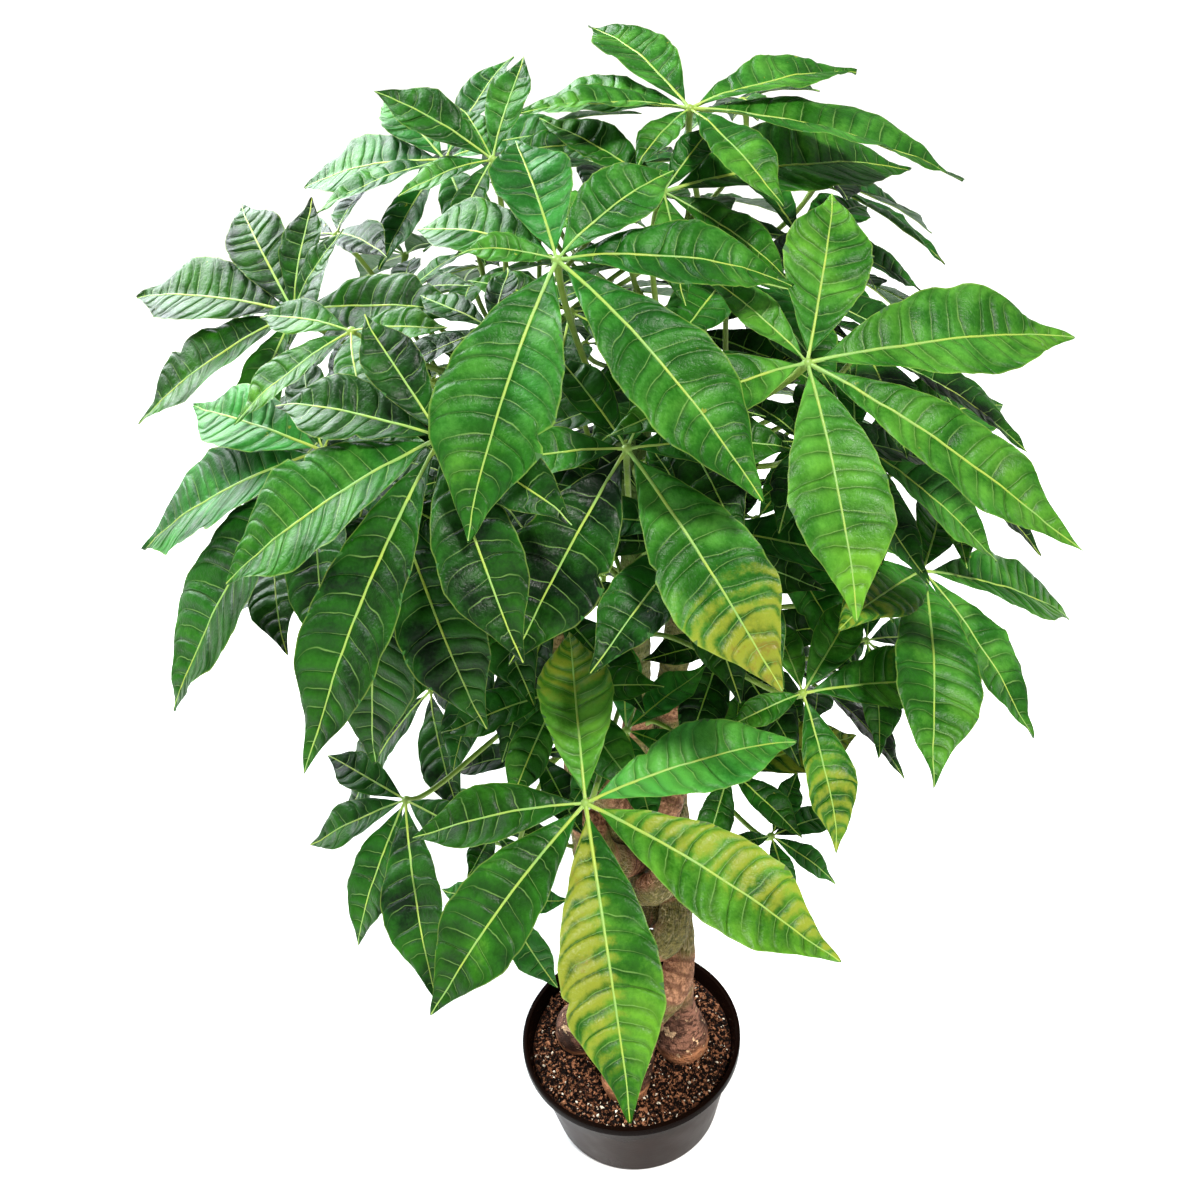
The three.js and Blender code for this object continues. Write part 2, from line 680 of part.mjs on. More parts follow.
function addPetiole(leaf, leaflets, between, under, add, faces) {
  const { face, down, side } = leafFrame(leaf);
  const count = leaflets.length;
  let tangent = face;
  let first = down.clone();
  let second = side.clone();
  let ring = [];
  for (let k = 0; k <= petioleSteps; k += 1) {
    const t = 1 - k / petioleSteps;
    const centre = leaf.curve.getPoint(t);
    const newTangent = k === 0 ? face : leaf.curve.getTangent(t);
    const swing = new THREE.Quaternion().setFromUnitVectors(tangent, newTangent);
    first.applyQuaternion(swing);
    second.applyQuaternion(swing);
    tangent = newTangent;
    const nextRing = leaflets.map((leaflet, j) => {
      const azimuth = k === 0 ? leaflet.azimuth : leaflets[0].azimuth + 360 * j / count;
      const offset = sum(first, Math.cos(azimuth * deg), second, Math.sin(azimuth * deg));
      offset.multiplyScalar(petioleRadius);
      if (k === petioleSteps) {
        const slant = offset.dot(leaf.outward) / tangent.dot(leaf.outward);
        offset.addScaledVector(tangent, -slant);
      }
      return add(centre.clone().add(offset));
    });
    for (let j = 0; j < count; j += 1) {
      const next = (j + 1) % count;
      if (k === 0) {
        const before = (j + count - 1) % count;
        faces.push([between[j], under[j], nextRing[j]], [under[j], between[before], nextRing[j]]);
        faces.push([between[j], nextRing[j], nextRing[next]]);
      } else {
        faces.push([ring[next], ring[j], nextRing[j]], [ring[next], nextRing[j], nextRing[next]]);
      }
    }
    ring = nextRing;
  }
  const foot = add(leaf.curve.getPoint(0));
  for (let j = 0; j < count; j += 1) faces.push([foot, ring[(j + 1) % count], ring[j]]);
}

function material(color, roughness) {
  return new THREE.MeshStandardMaterial({ color, roughness, metalness: 0 });
}

function mesh(name, geometry, look) {
  const solid = new THREE.Mesh(geometry, look);
  solid.name = name;
  return solid;
}

const potBlack = material('#1c1c1e', 0.45);
const soilBrown = material('#3a2a20', 0.95);
const barkBrown = material('#7b6650', 0.85);
const leafGreen = material('#2f7a38', 0.4);

const tree = new THREE.Group();
tree.add(mesh('pot', potGeometry(), potBlack));
tree.add(mesh('soil', soilGeometry(), soilBrown));
stemTops.forEach((top, stem) => tree.add(mesh(`stem_${stem + 1}`, stemGeometry(stem), barkBrown)));

const knownLeaves = [...seenLeaves, ...glimpsedLeafList()];
const leaves = [...knownLeaves, ...hiddenLeafList(knownLeaves)];
attachLeaves(leaves);
leaves.forEach(placePetiole);
leaves.forEach((leaf, number) => {
  leaf.leaflets = [];
  leaf.fan.forEach((leaflet) => placeLeaflet(leaf, number, leaflet));
});
leaves.forEach((leaf, number) => {
  const name = `leaf_${String(number + 1).padStart(2, '0')}`;
  const blade = mesh(name, leafGeometry(leaf), leafGreen);
  blade.position.set(...leaf.hub);
  tree.add(blade);
});

export default tree;
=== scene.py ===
import math

import bpy
import numpy as np
from mathutils import Matrix, Vector, noise
from mathutils.bvhtree import BVHTree


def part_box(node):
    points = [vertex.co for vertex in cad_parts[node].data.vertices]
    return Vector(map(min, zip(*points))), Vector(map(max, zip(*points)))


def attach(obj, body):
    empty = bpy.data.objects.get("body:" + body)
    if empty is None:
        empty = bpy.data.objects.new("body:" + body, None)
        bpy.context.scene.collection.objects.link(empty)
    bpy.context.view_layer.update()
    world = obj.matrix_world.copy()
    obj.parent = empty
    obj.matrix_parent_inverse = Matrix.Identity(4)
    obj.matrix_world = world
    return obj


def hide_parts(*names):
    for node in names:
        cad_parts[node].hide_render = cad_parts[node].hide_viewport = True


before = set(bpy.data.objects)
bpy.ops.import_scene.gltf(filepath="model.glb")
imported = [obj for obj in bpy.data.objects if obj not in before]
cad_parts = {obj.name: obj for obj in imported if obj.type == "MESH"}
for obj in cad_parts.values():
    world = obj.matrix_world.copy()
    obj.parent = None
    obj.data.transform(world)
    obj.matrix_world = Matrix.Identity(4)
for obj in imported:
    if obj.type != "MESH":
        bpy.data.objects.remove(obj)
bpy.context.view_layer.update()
print("frame loaded:", len(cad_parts), "nodes")


# Helpers for node trees
# The tree that a socket belongs to is its id_data.
def isSocket(value):
    return isinstance(value, bpy.types.NodeSocket)


def feed(socket, value):
    if isSocket(value):
        socket.id_data.links.new(value, socket)
    else:
        socket.default_value = value


def addNode(tree, kind, values=None, **settings):
    made = tree.nodes.new(kind)
    for key, value in settings.items():
        setattr(made, key, value)
    for socket, value in (values or {}).items():
        feed(made.inputs[socket], value)
    return made


def calc(operation, first, second=0.0, third=0.0):
    values = {0: first, 1: second, 2: third}
    return addNode(first.id_data, "ShaderNodeMath", values, operation=operation).outputs[0]


def product(first, second):
    return calc("MULTIPLY", first, second)


# value * amount + base
def scaleAdd(value, amount, base):
    return calc("MULTIPLY_ADD", value, amount, base)


def rise(value, low, high):
    values = {"Value": value, "From Min": low, "From Max": high}
    return addNode(value.id_data, "ShaderNodeMapRange", values, interpolation_type="SMOOTHSTEP").outputs[0]


def vector(x, y, z):
    return addNode(x.id_data, "ShaderNodeCombineXYZ", {0: x, 1: y, 2: z}).outputs[0]


def split(source):
    return addNode(source.id_data, "ShaderNodeSeparateXYZ", {0: source}).outputs


def stretched(source, scale):
    return addNode(source.id_data, "ShaderNodeMapping", {"Vector": source, "Scale": scale}).outputs[0]


def noiseAt(source, scale, detail=3.0, rough=0.55, twist=0.0):
    values = {"Vector": source, "Scale": scale, "Detail": detail, "Roughness": rough, "Distortion": twist}
    return addNode(source.id_data, "ShaderNodeTexNoise", values).outputs[0]


def cells(source, scale, feature="F1"):
    values = {"Vector": source, "Scale": scale}
    return addNode(source.id_data, "ShaderNodeTexVoronoi", values, feature=feature).outputs["Distance"]


def attribute(tree, name, socket="Fac"):
    return addNode(tree, "ShaderNodeAttribute", attribute_name=name).outputs[socket]


def objectPlace(tree):
    return addNode(tree, "ShaderNodeTexCoord").outputs["Object"]


def blend(factor, first, second, kind="MIX"):
    tree = (factor if isSocket(factor) else first).id_data
    made = addNode(tree, "ShaderNodeMix", {0: factor}, data_type="RGBA", blend_type=kind)
    for socket, value in ((made.inputs[6], first), (made.inputs[7], second)):
        feed(socket, value if isSocket(value) else (*value, 1))
    return made.outputs[2]


# Lays a paint over a colour through a mask, at most by the given amount
def overlay(colour, mask, amount, paint):
    return blend(product(mask, amount), colour, paint)


def shades(factor, stops):
    made = addNode(factor.id_data, "ShaderNodeValToRGB", {0: factor})
    points = made.color_ramp.elements
    while len(points) < len(stops):
        points.new(0.5)
    for point, (place, colour) in zip(points, stops):
        point.position = place
        point.color = (*colour, 1)
    return made.outputs[0]


def newGroup(name, inputs, outputs, kind="ShaderNodeTree"):
    made = bpy.data.node_groups.new(name, kind)
    for way, sockets in (("INPUT", inputs), ("OUTPUT", outputs)):
        for label, holds in sockets.items():
            made.interface.new_socket(label, in_out=way, socket_type="NodeSocket" + holds)
    return made, made.nodes.new("NodeGroupInput").outputs, made.nodes.new("NodeGroupOutput").inputs


def newTree(name, inputs):
    shape = {"Geometry": "Geometry"}
    return newGroup(name, {**shape, **inputs}, shape, "GeometryNodeTree")


def useGroup(tree, made, values):
    return addNode(tree, "ShaderNodeGroup", values, node_tree=made).outputs


def newMaterial(name, gloss):
    made = bpy.data.materials.new(name)
    made.use_nodes = True
    for label, value in gloss.items():
        made.node_tree.nodes["Principled BSDF"].inputs[label].default_value = value
    return made, made.node_tree


# Feeds the shader of a material: its colour, and where given its roughness and bump
def dress(material, colour, rough=None, relief=None, bump=(0.0, 0.0)):
    tree = material.node_tree
    surface = tree.nodes["Principled BSDF"].inputs
    feed(surface["Base Color"], colour)
    if rough is not None:
        feed(surface["Roughness"], rough)
    if relief is not None:
        values = {"Height": relief, "Strength": bump[0], "Distance": bump[1]}
        feed(surface["Normal"], addNode(tree, "ShaderNodeBump", values).outputs[0])
    return material


def named(tree, name, kind="FLOAT"):
    values = {"Name": name}
    return addNode(tree, "GeometryNodeInputNamedAttribute", values, data_type=kind).outputs["Attribute"]


def move(geometry, offset):
    values = {"Geometry": geometry, "Offset": offset}
    return addNode(geometry.id_data, "GeometryNodeSetPosition", values).outputs[0]


def times(direction, amount):
    values = {0: direction, "Scale": amount}
    return addNode(direction.id_data, "ShaderNodeVectorMath", values, operation="SCALE").outputs[0]


# A smooth tube along every line. Its profile is scaled by the line's own thickness.
def tubes(tree, lines, profile):
    line = addNode(tree, "GeometryNodeMeshToCurve", {"Mesh": lines}).outputs[0]
    swept = addNode(tree, "GeometryNodeCurveToMesh", {
        "Curve": line, "Profile Curve": profile, "Scale": named(tree, "thick"), "Fill Caps": True})
    return addNode(tree, "GeometryNodeSetShadeSmooth", {"Geometry": swept.outputs[0]}).outputs[0]


def ringProfile(tree, sides):
    return addNode(tree, "GeometryNodeCurvePrimitiveCircle", {"Resolution": sides, "Radius": 1.0}).outputs[0]


def endTree(tree, made, geometry, material, selection=True):
    real = addNode(tree, "GeometryNodeRealizeInstances", {0: geometry}).outputs[0]
    last = addNode(tree, "GeometryNodeSetMaterial", {
        "Geometry": real, "Selection": selection, "Material": material})
    feed(made["Geometry"], last.outputs[0])


# Puts a geometry tree on a piece with its own input values and keeps the result as a plain mesh
def applyTree(piece, tree, values):
    modifier = piece.modifiers.new(tree.name, "NODES")
    modifier.node_group = tree
    for item in tree.interface.items_tree:
        if item.in_out == "INPUT" and item.name in values:
            modifier[item.identifier] = values[item.name]
    keepResult(piece)


def keepResult(piece):
    graph = bpy.context.evaluated_depsgraph_get()
    shown = piece.evaluated_get(graph)
    made = bpy.data.meshes.new_from_object(shown, preserve_all_data_layers=True, depsgraph=graph)
    piece.modifiers.clear()
    bare = piece.data
    piece.data = made
    bpy.data.meshes.remove(bare)


def addObject(name, data):
    made = bpy.data.objects.new(name, data)
    bpy.context.scene.collection.objects.link(made)
    return made


def newPiece(name, points, faces, edges=(), materials=()):
    mesh = bpy.data.meshes.new(name)
    mesh.from_pydata([tuple(p) for p in points], list(edges), [tuple(f) for f in faces])
    mesh.shade_smooth()
    for material in materials:
        mesh.materials.append(material)
    return addObject(name, mesh)


def finishPiece(piece, slot, *nodes):
    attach(piece, "root")
    if nodes:
        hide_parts(*nodes)


def setValues(mesh, name, values, kind="FLOAT", domain="POINT"):
    layer = mesh.attributes.new(name, kind, domain)
    layer.data.foreach_set("value", np.asarray(values).ravel())


def smooth(value, low, high):
    share = np.clip((value - low) / (high - low), 0, 1)
    return share * share * (3 - 2 * share)


def unit(v):
    return v / np.linalg.norm(v, axis=-1, keepdims=True)


def dot(a, b):
    return np.sum(a * b, axis=-1, keepdims=True)


plumb = np.array([0.0, 0.0, 1.0])  # straight up


# Reading the CAD nodes back: shared points and, for each, its neighbours along the edges
mergeGrid = 1e5


def readNode(name):
    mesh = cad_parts[name].data
    loose = np.array([v.co for v in mesh.vertices])
    _, first, same = np.unique(np.round(loose * mergeGrid), axis=0, return_index=True, return_inverse=True)
    same = same.reshape(-1)
    near = [set() for _ in first]
    for face in mesh.polygons:
        corners = {int(same[i]) for i in face.vertices}
        for corner in corners:
            near[corner] |= corners - {corner}
    return loose[first], near


# The rings of a tube, from the first ring on. What is known already is left out.
def walkRings(near, ring, known):
    rings = []
    while ring:
        rings.append(sorted(ring))
        known = known | ring
        ring = {j for i in ring for j in near[i]} - known
    return rings


# Shared surface effect: uneven tone, broad and fine, and a spread of small specks
mottle, given, made = newGroup(
    "mottle",
    {"Vector": "Vector", "Broad scale": "Float", "Fine scale": "Float", "Speck scale": "Float"},
    {"Broad": "Float", "Fine": "Float", "Specks": "Float"},
)
spread = noiseAt(given["Vector"], given["Broad scale"], 2.0, 0.6)
grain = noiseAt(given["Vector"], given["Fine scale"], 2.0, 0.7)
dots = cells(given["Vector"], given["Speck scale"])
feed(made["Broad"], rise(spread, 0.3, 0.7))
feed(made["Fine"], rise(grain, 0.25, 0.75))
feed(made["Specks"], rise(dots, 0.16, 0.06))


def mottled(source, scales):
    labels = ("Broad scale", "Fine scale", "Speck scale")
    return useGroup(source.id_data, mottle, {"Vector": source, **dict(zip(labels, scales))})


# Pot
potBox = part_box("pot")
potLook = dict(
    baseRadius=0.098, wall=0.002, lipWidth=0.005, lipDepth=0.011, lipRise=0.002, lipInset=0.0015,
    footBevel=0.003, steps=192, rounding=0.0008, roundingSteps=3,
    holes=6, holeRadius=0.006, holeRing=0.080, holeSteps=32, holeFrom=-0.005, holeTo=0.01,
    mottle=(22, 260, 420), streaks=(60, 60, 7), dustAndReflection=(0.16, 0.32), filmHeights=(0.108, 0.07),
    specks=0.35, rough=(0.08, 0.19), filmRough=0.2, bump=(0.06, 0.0005),
    colour=(0.004, 0.0016, 0.001), dustAndReflectionColour=(0.048, 0.028, 0.023), soilColour=(0.03, 0.012, 0.006),
)
rimRadius = potBox[1][0]
potHeight = potBox[1][2]


def potRadius(z):
    base = potLook["baseRadius"]
    return base + (rimRadius - potLook["lipWidth"] - base) * z / potHeight


# Turns a profile that starts and ends on the axis into a closed form
def lathe(profile, steps):
    turns = np.arange(steps) * 2 * math.pi / steps
    points = [(0, 0, profile[0][1])]
    for radius, z in profile[1:-1]:
        points += [(radius * math.cos(a), radius * math.sin(a), z) for a in turns]
    points.append((0, 0, profile[-1][1]))
    faces = []
    last = len(profile) - 3
    for side in range(steps):
        after = (side + 1) % steps
        faces.append((0, 1 + after, 1 + side))
        for ring in range(last):
            low = 1 + ring * steps
            high = low + steps
            faces.append((low + side, low + after, high + after, high + side))
        top = 1 + last * steps
        faces.append((len(points) - 1, top + side, top + after))
    return points, faces


def potMaterial():
    look = potLook
    material, tree = newMaterial("potPlastic", {"Roughness": 0.3, "IOR": 1.49, "Specular IOR Level": 0.02})
    place = objectPlace(tree)
    tones = mottled(place, look["mottle"])
    streaks = noiseAt(stretched(place, look["streaks"]), 1.0, 4.0)
    # A film of dust and painted reflection, in vertical streaks, that fades out towards the lip, and specks
    # of soil
    dustAndReflection = scaleAdd(rise(streaks, 0.2, 0.8), *look["dustAndReflection"])
    dustAndReflection = product(dustAndReflection, rise(split(place)[2], *look["filmHeights"]))
    colour = blend(dustAndReflection, look["colour"], look["dustAndReflectionColour"])
    colour = overlay(colour, tones["Specks"], look["specks"], look["soilColour"])
    rough = scaleAdd(dustAndReflection, look["filmRough"], scaleAdd(tones["Broad"], *look["rough"]))
    return dress(material, colour, rough, scaleAdd(streaks, 0.5, tones["Fine"]), look["bump"])


def buildPot():
    look = potLook
    lipFoot = potHeight - look["lipDepth"]
    inside = look["wall"]
    below = lipFoot - look["lipRise"]
    profile = [
        (0, 0),
        (look["baseRadius"] - look["footBevel"], 0),
        (potRadius(look["footBevel"]), look["footBevel"]),
        (potRadius(below), below),
        (rimRadius - look["lipInset"], lipFoot),
        (rimRadius, lipFoot + look["lipRise"]),
        (rimRadius, potHeight),
        (rimRadius - look["lipWidth"], potHeight),
        (potRadius(lipFoot) - inside, lipFoot),
        (potRadius(inside) - inside, inside),
        (0, inside),
    ]
    pot = newPiece("nursery_pot", *lathe(profile, look["steps"]), materials=[potMaterial()])
    radius, low, high = look["holeRadius"], look["holeFrom"], look["holeTo"]
    hole = lathe([(0, low), (radius, low), (radius, high), (0, high)], look["holeSteps"])
    cutters = []
    for i in range(look["holes"]):
        angle = 2 * math.pi * (i + 0.5) / look["holes"]
        cutter = newPiece("holeCutter", *hole)
        place = look["holeRing"] * Vector((math.cos(angle), math.sin(angle), 0))
        cutter.data.transform(Matrix.Translation(place))
        cut = pot.modifiers.new("hole", "BOOLEAN")
        cut.object = cutter
        cutters.append(cutter)
    edge = pot.modifiers.new("rounded lip", "BEVEL")
    edge.width = look["rounding"]
    edge.segments = look["roundingSteps"]
    keepResult(pot)
    for cutter in cutters:
        bpy.data.objects.remove(cutter)
    finishPiece(pot, "pot_plastic", "pot")


buildPot()
print("pot made")


# Soil
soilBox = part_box("soil")
soilLook = dict(
    rings=84, steps=220, wallGap=0.0004, edgeGap=0.0002, edgeDrop=0.001, floorGap=0.0023,
    lump=0.0034, lumpScale=42, grit=0.0022, gritScale=190, crown=0.003, rootHeap=0.003, heapReach=0.045,
    footSpace=0.024, wallSpace=0.003, lowest=0.006,
    crumbs=4400, crumbSize=(0.0012, 0.0045), perlite=640, perliteSize=(0.0008, 0.0026), seed=4,
    mottle=(55, 420, 330), clods=240.0, specks=0.5, rough=(0.2, 0.72), bump=(0.8, 0.002),
    stoneMottle=(90, 900, 1200), stoneRough=0.75, stoneBump=(0.4, 0.0006),
    dark=(0.003, 0.001, 0.0006), brown=(0.06, 0.02, 0.009), pale=(0.3, 0.13, 0.065),
    stone=(0.85, 0.75, 0.6), stoneShade=(0.5, 0.4, 0.29),
)
edgeRadius = soilBox[1][0]
edgeHeight = 0.104


def soilMaterial(name, pale):
    look = soilLook
    material, tree = newMaterial(name, {"Roughness": 0.9, "Specular IOR Level": 0.1})
    place = objectPlace(tree)
    tones = mottled(place, look["mottle"])
    clods = rise(noiseAt(place, look["clods"], 2.0, 0.6), 0.42, 0.6)
    grain = scaleAdd(tones["Fine"], 0.35, product(clods, 0.65))
    depth = scaleAdd(tones["Broad"], 0.26, calc("SUBTRACT", grain, 0.16))
    colour = shades(depth, [(0.38, look["dark"]), (0.62, look["brown"]), (0.82, pale)])
    colour = overlay(colour, tones["Specks"], look["specks"], look["pale"])
    return dress(material, colour, scaleAdd(tones["Fine"], *look["rough"]), grain, look["bump"])


def perliteMaterial():
    look = soilLook
    material, tree = newMaterial("perlite", {})
    tones = mottled(objectPlace(tree), look["stoneMottle"])
    colour = blend(tones["Broad"], look["stone"], look["stoneShade"])
    return dress(material, colour, look["stoneRough"], tones["Fine"], look["stoneBump"])


# How far a place is from the nearest swollen foot
def footGap(x, y, feet):
    return min(math.hypot(x - foot[0], y - foot[1]) for foot in feet)


# The heights of the soil: lumps and grit, heaped a little round each swollen foot
def soilHeight(x, y, feet):
    look = soilLook
    spot = Vector((x, y, 0))
    height = look["lump"] * noise.noise(spot * look["lumpScale"])
    height = height + look["grit"] * noise.noise(spot * look["gritScale"])
    heap = max(0.0, 1 - footGap(x, y, feet) / look["heapReach"])
    crown = look["crown"] * (1 - (x * x + y * y) / edgeRadius ** 2)
    return edgeHeight + height + crown + look["rootHeap"] * heap


def buildSoil(feet):
    look = soilLook
    floor = look["floorGap"]
    floorRadius = potRadius(floor) - potLook["wall"] - look["wallGap"]
    outer = edgeRadius - look["edgeGap"]
    profile = [(0, floor), (floorRadius, floor), (outer, edgeHeight - look["edgeDrop"])]
    profile += [(outer * (1 - i / look["rings"]), edgeHeight) for i in range(1, look["rings"])]
    points, faces = lathe([*profile, (0, edgeHeight)], look["steps"])
    top = 1 + 2 * look["steps"]
    points[top:] = [(x, y, soilHeight(x, y, feet)) for x, y, _ in points[top:]]
    soil = newPiece("potting_mix", points, faces, materials=[soilMaterial("pottingMix", look["brown"])])
    # Grains lie on the open ground only, off the feet and the wall
    bare = []
    for x, y, z in points:
        inPot = math.hypot(x, y) < edgeRadius - look["wallSpace"] and z > edgeHeight - look["lowest"]
        bare.append(1.0 if inPot and footGap(x, y, feet) > look["footSpace"] else 0.0)
    setValues(soil.data, "bare", bare)
    crumbs = soilMaterial("crumbs", look["pale"])
    scatterPieces(soil, "soil_crumbs", look["crumbs"], look["crumbSize"], crumbs, 1)
    scatterPieces(soil, "perlite", look["perlite"], look["perliteSize"], perliteMaterial(), 2)
    finishPiece(soil, "potting_mix", "soil")


# One tree scatters crumbs and perlite: rough little grains, seeded, on the bare ground only
def scatterTree():
    inputs = {"Count per m2": "Float", "Smallest": "Float", "Largest": "Float", "Seed": "Int",
              "Grain material": "Material"}
    tree, given, made = newTree("scatterGrains", inputs)
    density = product(given["Count per m2"], named(tree, "bare"))
    spread = addNode(tree, "GeometryNodeDistributePointsOnFaces", {
        "Mesh": given["Geometry"], "Density": density, "Seed": given["Seed"]})
    grain = addNode(tree, "GeometryNodeMeshIcoSphere", {"Radius": 1.0, "Subdivisions": 1}).outputs[0]
    sizes = {2: given["Smallest"], 3: given["Largest"], "Seed": given["Seed"]}
    size = addNode(tree, "FunctionNodeRandomValue", sizes, data_type="FLOAT").outputs[1]
    shapes = {0: (0.7, 0.55, 0.35), 1: (1.6, 1.1, 0.9), "Seed": 11}
    shape = addNode(tree, "FunctionNodeRandomValue", shapes, data_type="FLOAT_VECTOR").outputs[0]
    turns = {0: (0, 0, 0), 1: (6.28, 6.28, 6.28), "Seed": 5}
    turn = addNode(tree, "FunctionNodeRandomValue", turns, data_type="FLOAT_VECTOR").outputs[0]
    grains = addNode(tree, "GeometryNodeInstanceOnPoints", {
        "Points": spread.outputs[0], "Instance": grain, "Rotation": turn, "Scale": times(shape, size)})
    real = addNode(tree, "GeometryNodeRealizeInstances", {0: grains.outputs[0]}).outputs[0]
    # Each grain is knocked out of round by a noise finer than the grain
    place = addNode(tree, "GeometryNodeInputPosition").outputs[0]
    rough = addNode(tree, "ShaderNodeTexNoise", {"Vector": place, "Scale": 900.0, "Detail": 1.0}).outputs[1]
    centred = addNode(tree, "ShaderNodeVectorMath", {0: rough, 1: (0.5, 0.5, 0.5)}, operation="SUBTRACT")
    knock = times(centred.outputs[0], product(given["Largest"], 0.9))
    endTree(tree, made, move(real, knock), given["Grain material"])
    return tree


def scatterPieces(ground, name, count, size, material, seed):
    area = math.pi * edgeRadius ** 2
    piece = addObject(name, ground.data.copy())
    applyTree(piece, grainTree, {
        "Count per m2": count / area, "Smallest": size[0], "Largest": size[1],
        "Seed": soilLook["seed"] + seed, "Grain material": material})
    finishPiece(piece, "potting_mix")


grainTree = scatterTree()


# Stems
stemNames = [f"stem_{i + 1}" for i in range(5)]
barkLook = dict(
    sides=44, steps=270, thinnest=0.005, tipRounding=0.006, tipEnd=0.02,
    knots=0.0012, knotScale=34.0, ringDepth=0.0004, ringRate=330.0,
    pressed=0.0013, braidFrom=(0.19, 0.24), braidTo=(0.6, 0.5),
    mottle=(24, 240, 420), net=(380, 380, 85), bands=(7, 7, 16), scarRate=420.0,
    wrinkles=(110, 110, 260), threads=(420, 420, 60), flakes=95.0, ragged=0.016,
    collar=(0.139, 0.124), flaking=(0.19, 0.15), footTop=(0.178, 0.2), shootFrom=(0.6, 0.86),
    rough=(0.2, 0.66), bump=(0.9, 0.0024),
    olive=(0.23, 0.19, 0.055), moss=(0.06, 0.062, 0.016), fissure=(0.6, 0.48, 0.26),
    pink=(0.62, 0.31, 0.17), pinkDark=(0.15, 0.062, 0.032), bulb=(0.36, 0.165, 0.105),
    bulbDark=(0.03, 0.012, 0.007), fibre=(0.6, 0.24, 0.085), flake=(0.85, 0.56, 0.32),
    shoot=(0.09, 0.16, 0.03),
)


# The middle line and radius of a stem, smoothed through the rings of its node
def readStem(name):
    points, near = readNode(name)
    ends = [i for i, group in enumerate(near) if len(group) == 8]
    low = min(ends, key=lambda i: points[i][2])
    rings = [ring for ring in walkRings(near, {low}, set()) if len(ring) > 1]
    centres = np.array([points[ring].mean(0) for ring in rings])
    spokes = [np.linalg.norm(points[ring] - centre, axis=1) for ring, centre in zip(rings, centres)]
    radii = np.array([spoke.mean() for spoke in spokes])
    reach = np.concatenate([[0], np.cumsum(np.linalg.norm(np.diff(centres, axis=0), axis=1))])
    return reach, centres, radii


# A smooth curve through given values, with the slope at each taken from its neighbours
def throughPoints(places, values, wanted):
    slopes = np.gradient(values, places, axis=0)
    i = np.clip(np.searchsorted(places, wanted) - 1, 0, len(places) - 2)
    gap = (places[i + 1] - places[i])
    s = (wanted - places[i]) / gap
    if values.ndim > 1:
        gap = gap[:, None]
        s = s[:, None]
    first = (1 + 2 * s) * (1 - s) ** 2 * values[i] + s * (1 - s) ** 2 * gap * slopes[i]
    return first + s ** 2 * (3 - 2 * s) * values[i + 1] + s ** 2 * (s - 1) * gap * slopes[i + 1]


# A place on the bark: round the stem's own middle line, and along it
def barkSpot(girth, thick, along):
    around = split(girth)
    return vector(product(around[0], thick), product(around[1], thick), along)


def barkTree():
    inputs = {"Sides": "Int", "Knot height": "Float", "Ring depth": "Float", "Bark material": "Material"}
    tree, given, made = newTree("growBark", inputs)
    place = addNode(tree, "GeometryNodeInputPosition").outputs[0]
    profile = {"Geometry": ringProfile(tree, given["Sides"]), "Name": "girth", "Value": place}
    girth = addNode(tree, "GeometryNodeStoreNamedAttribute", profile, data_type="FLOAT_VECTOR").outputs[0]
    stem = tubes(tree, given["Geometry"], girth)
    along = named(tree, "along")
    spot = barkSpot(named(tree, "girth", "FLOAT_VECTOR"), named(tree, "thick"), along)
    lumps = noiseAt(spot, barkLook["knotScale"], 3.0, 0.5)
    knots = product(calc("SUBTRACT", lumps, 0.5), given["Knot height"])
    wander = scaleAdd(lumps, 6.0, product(along, barkLook["ringRate"]))
    rings = product(calc("SINE", wander), given["Ring depth"])
    amount = calc("ADD", product(knots, 2.0), rings)
    normal = addNode(tree, "GeometryNodeInputNormal").outputs[0]
    endTree(tree, made, move(stem, times(normal, amount)), given["Bark material"])
    return tree


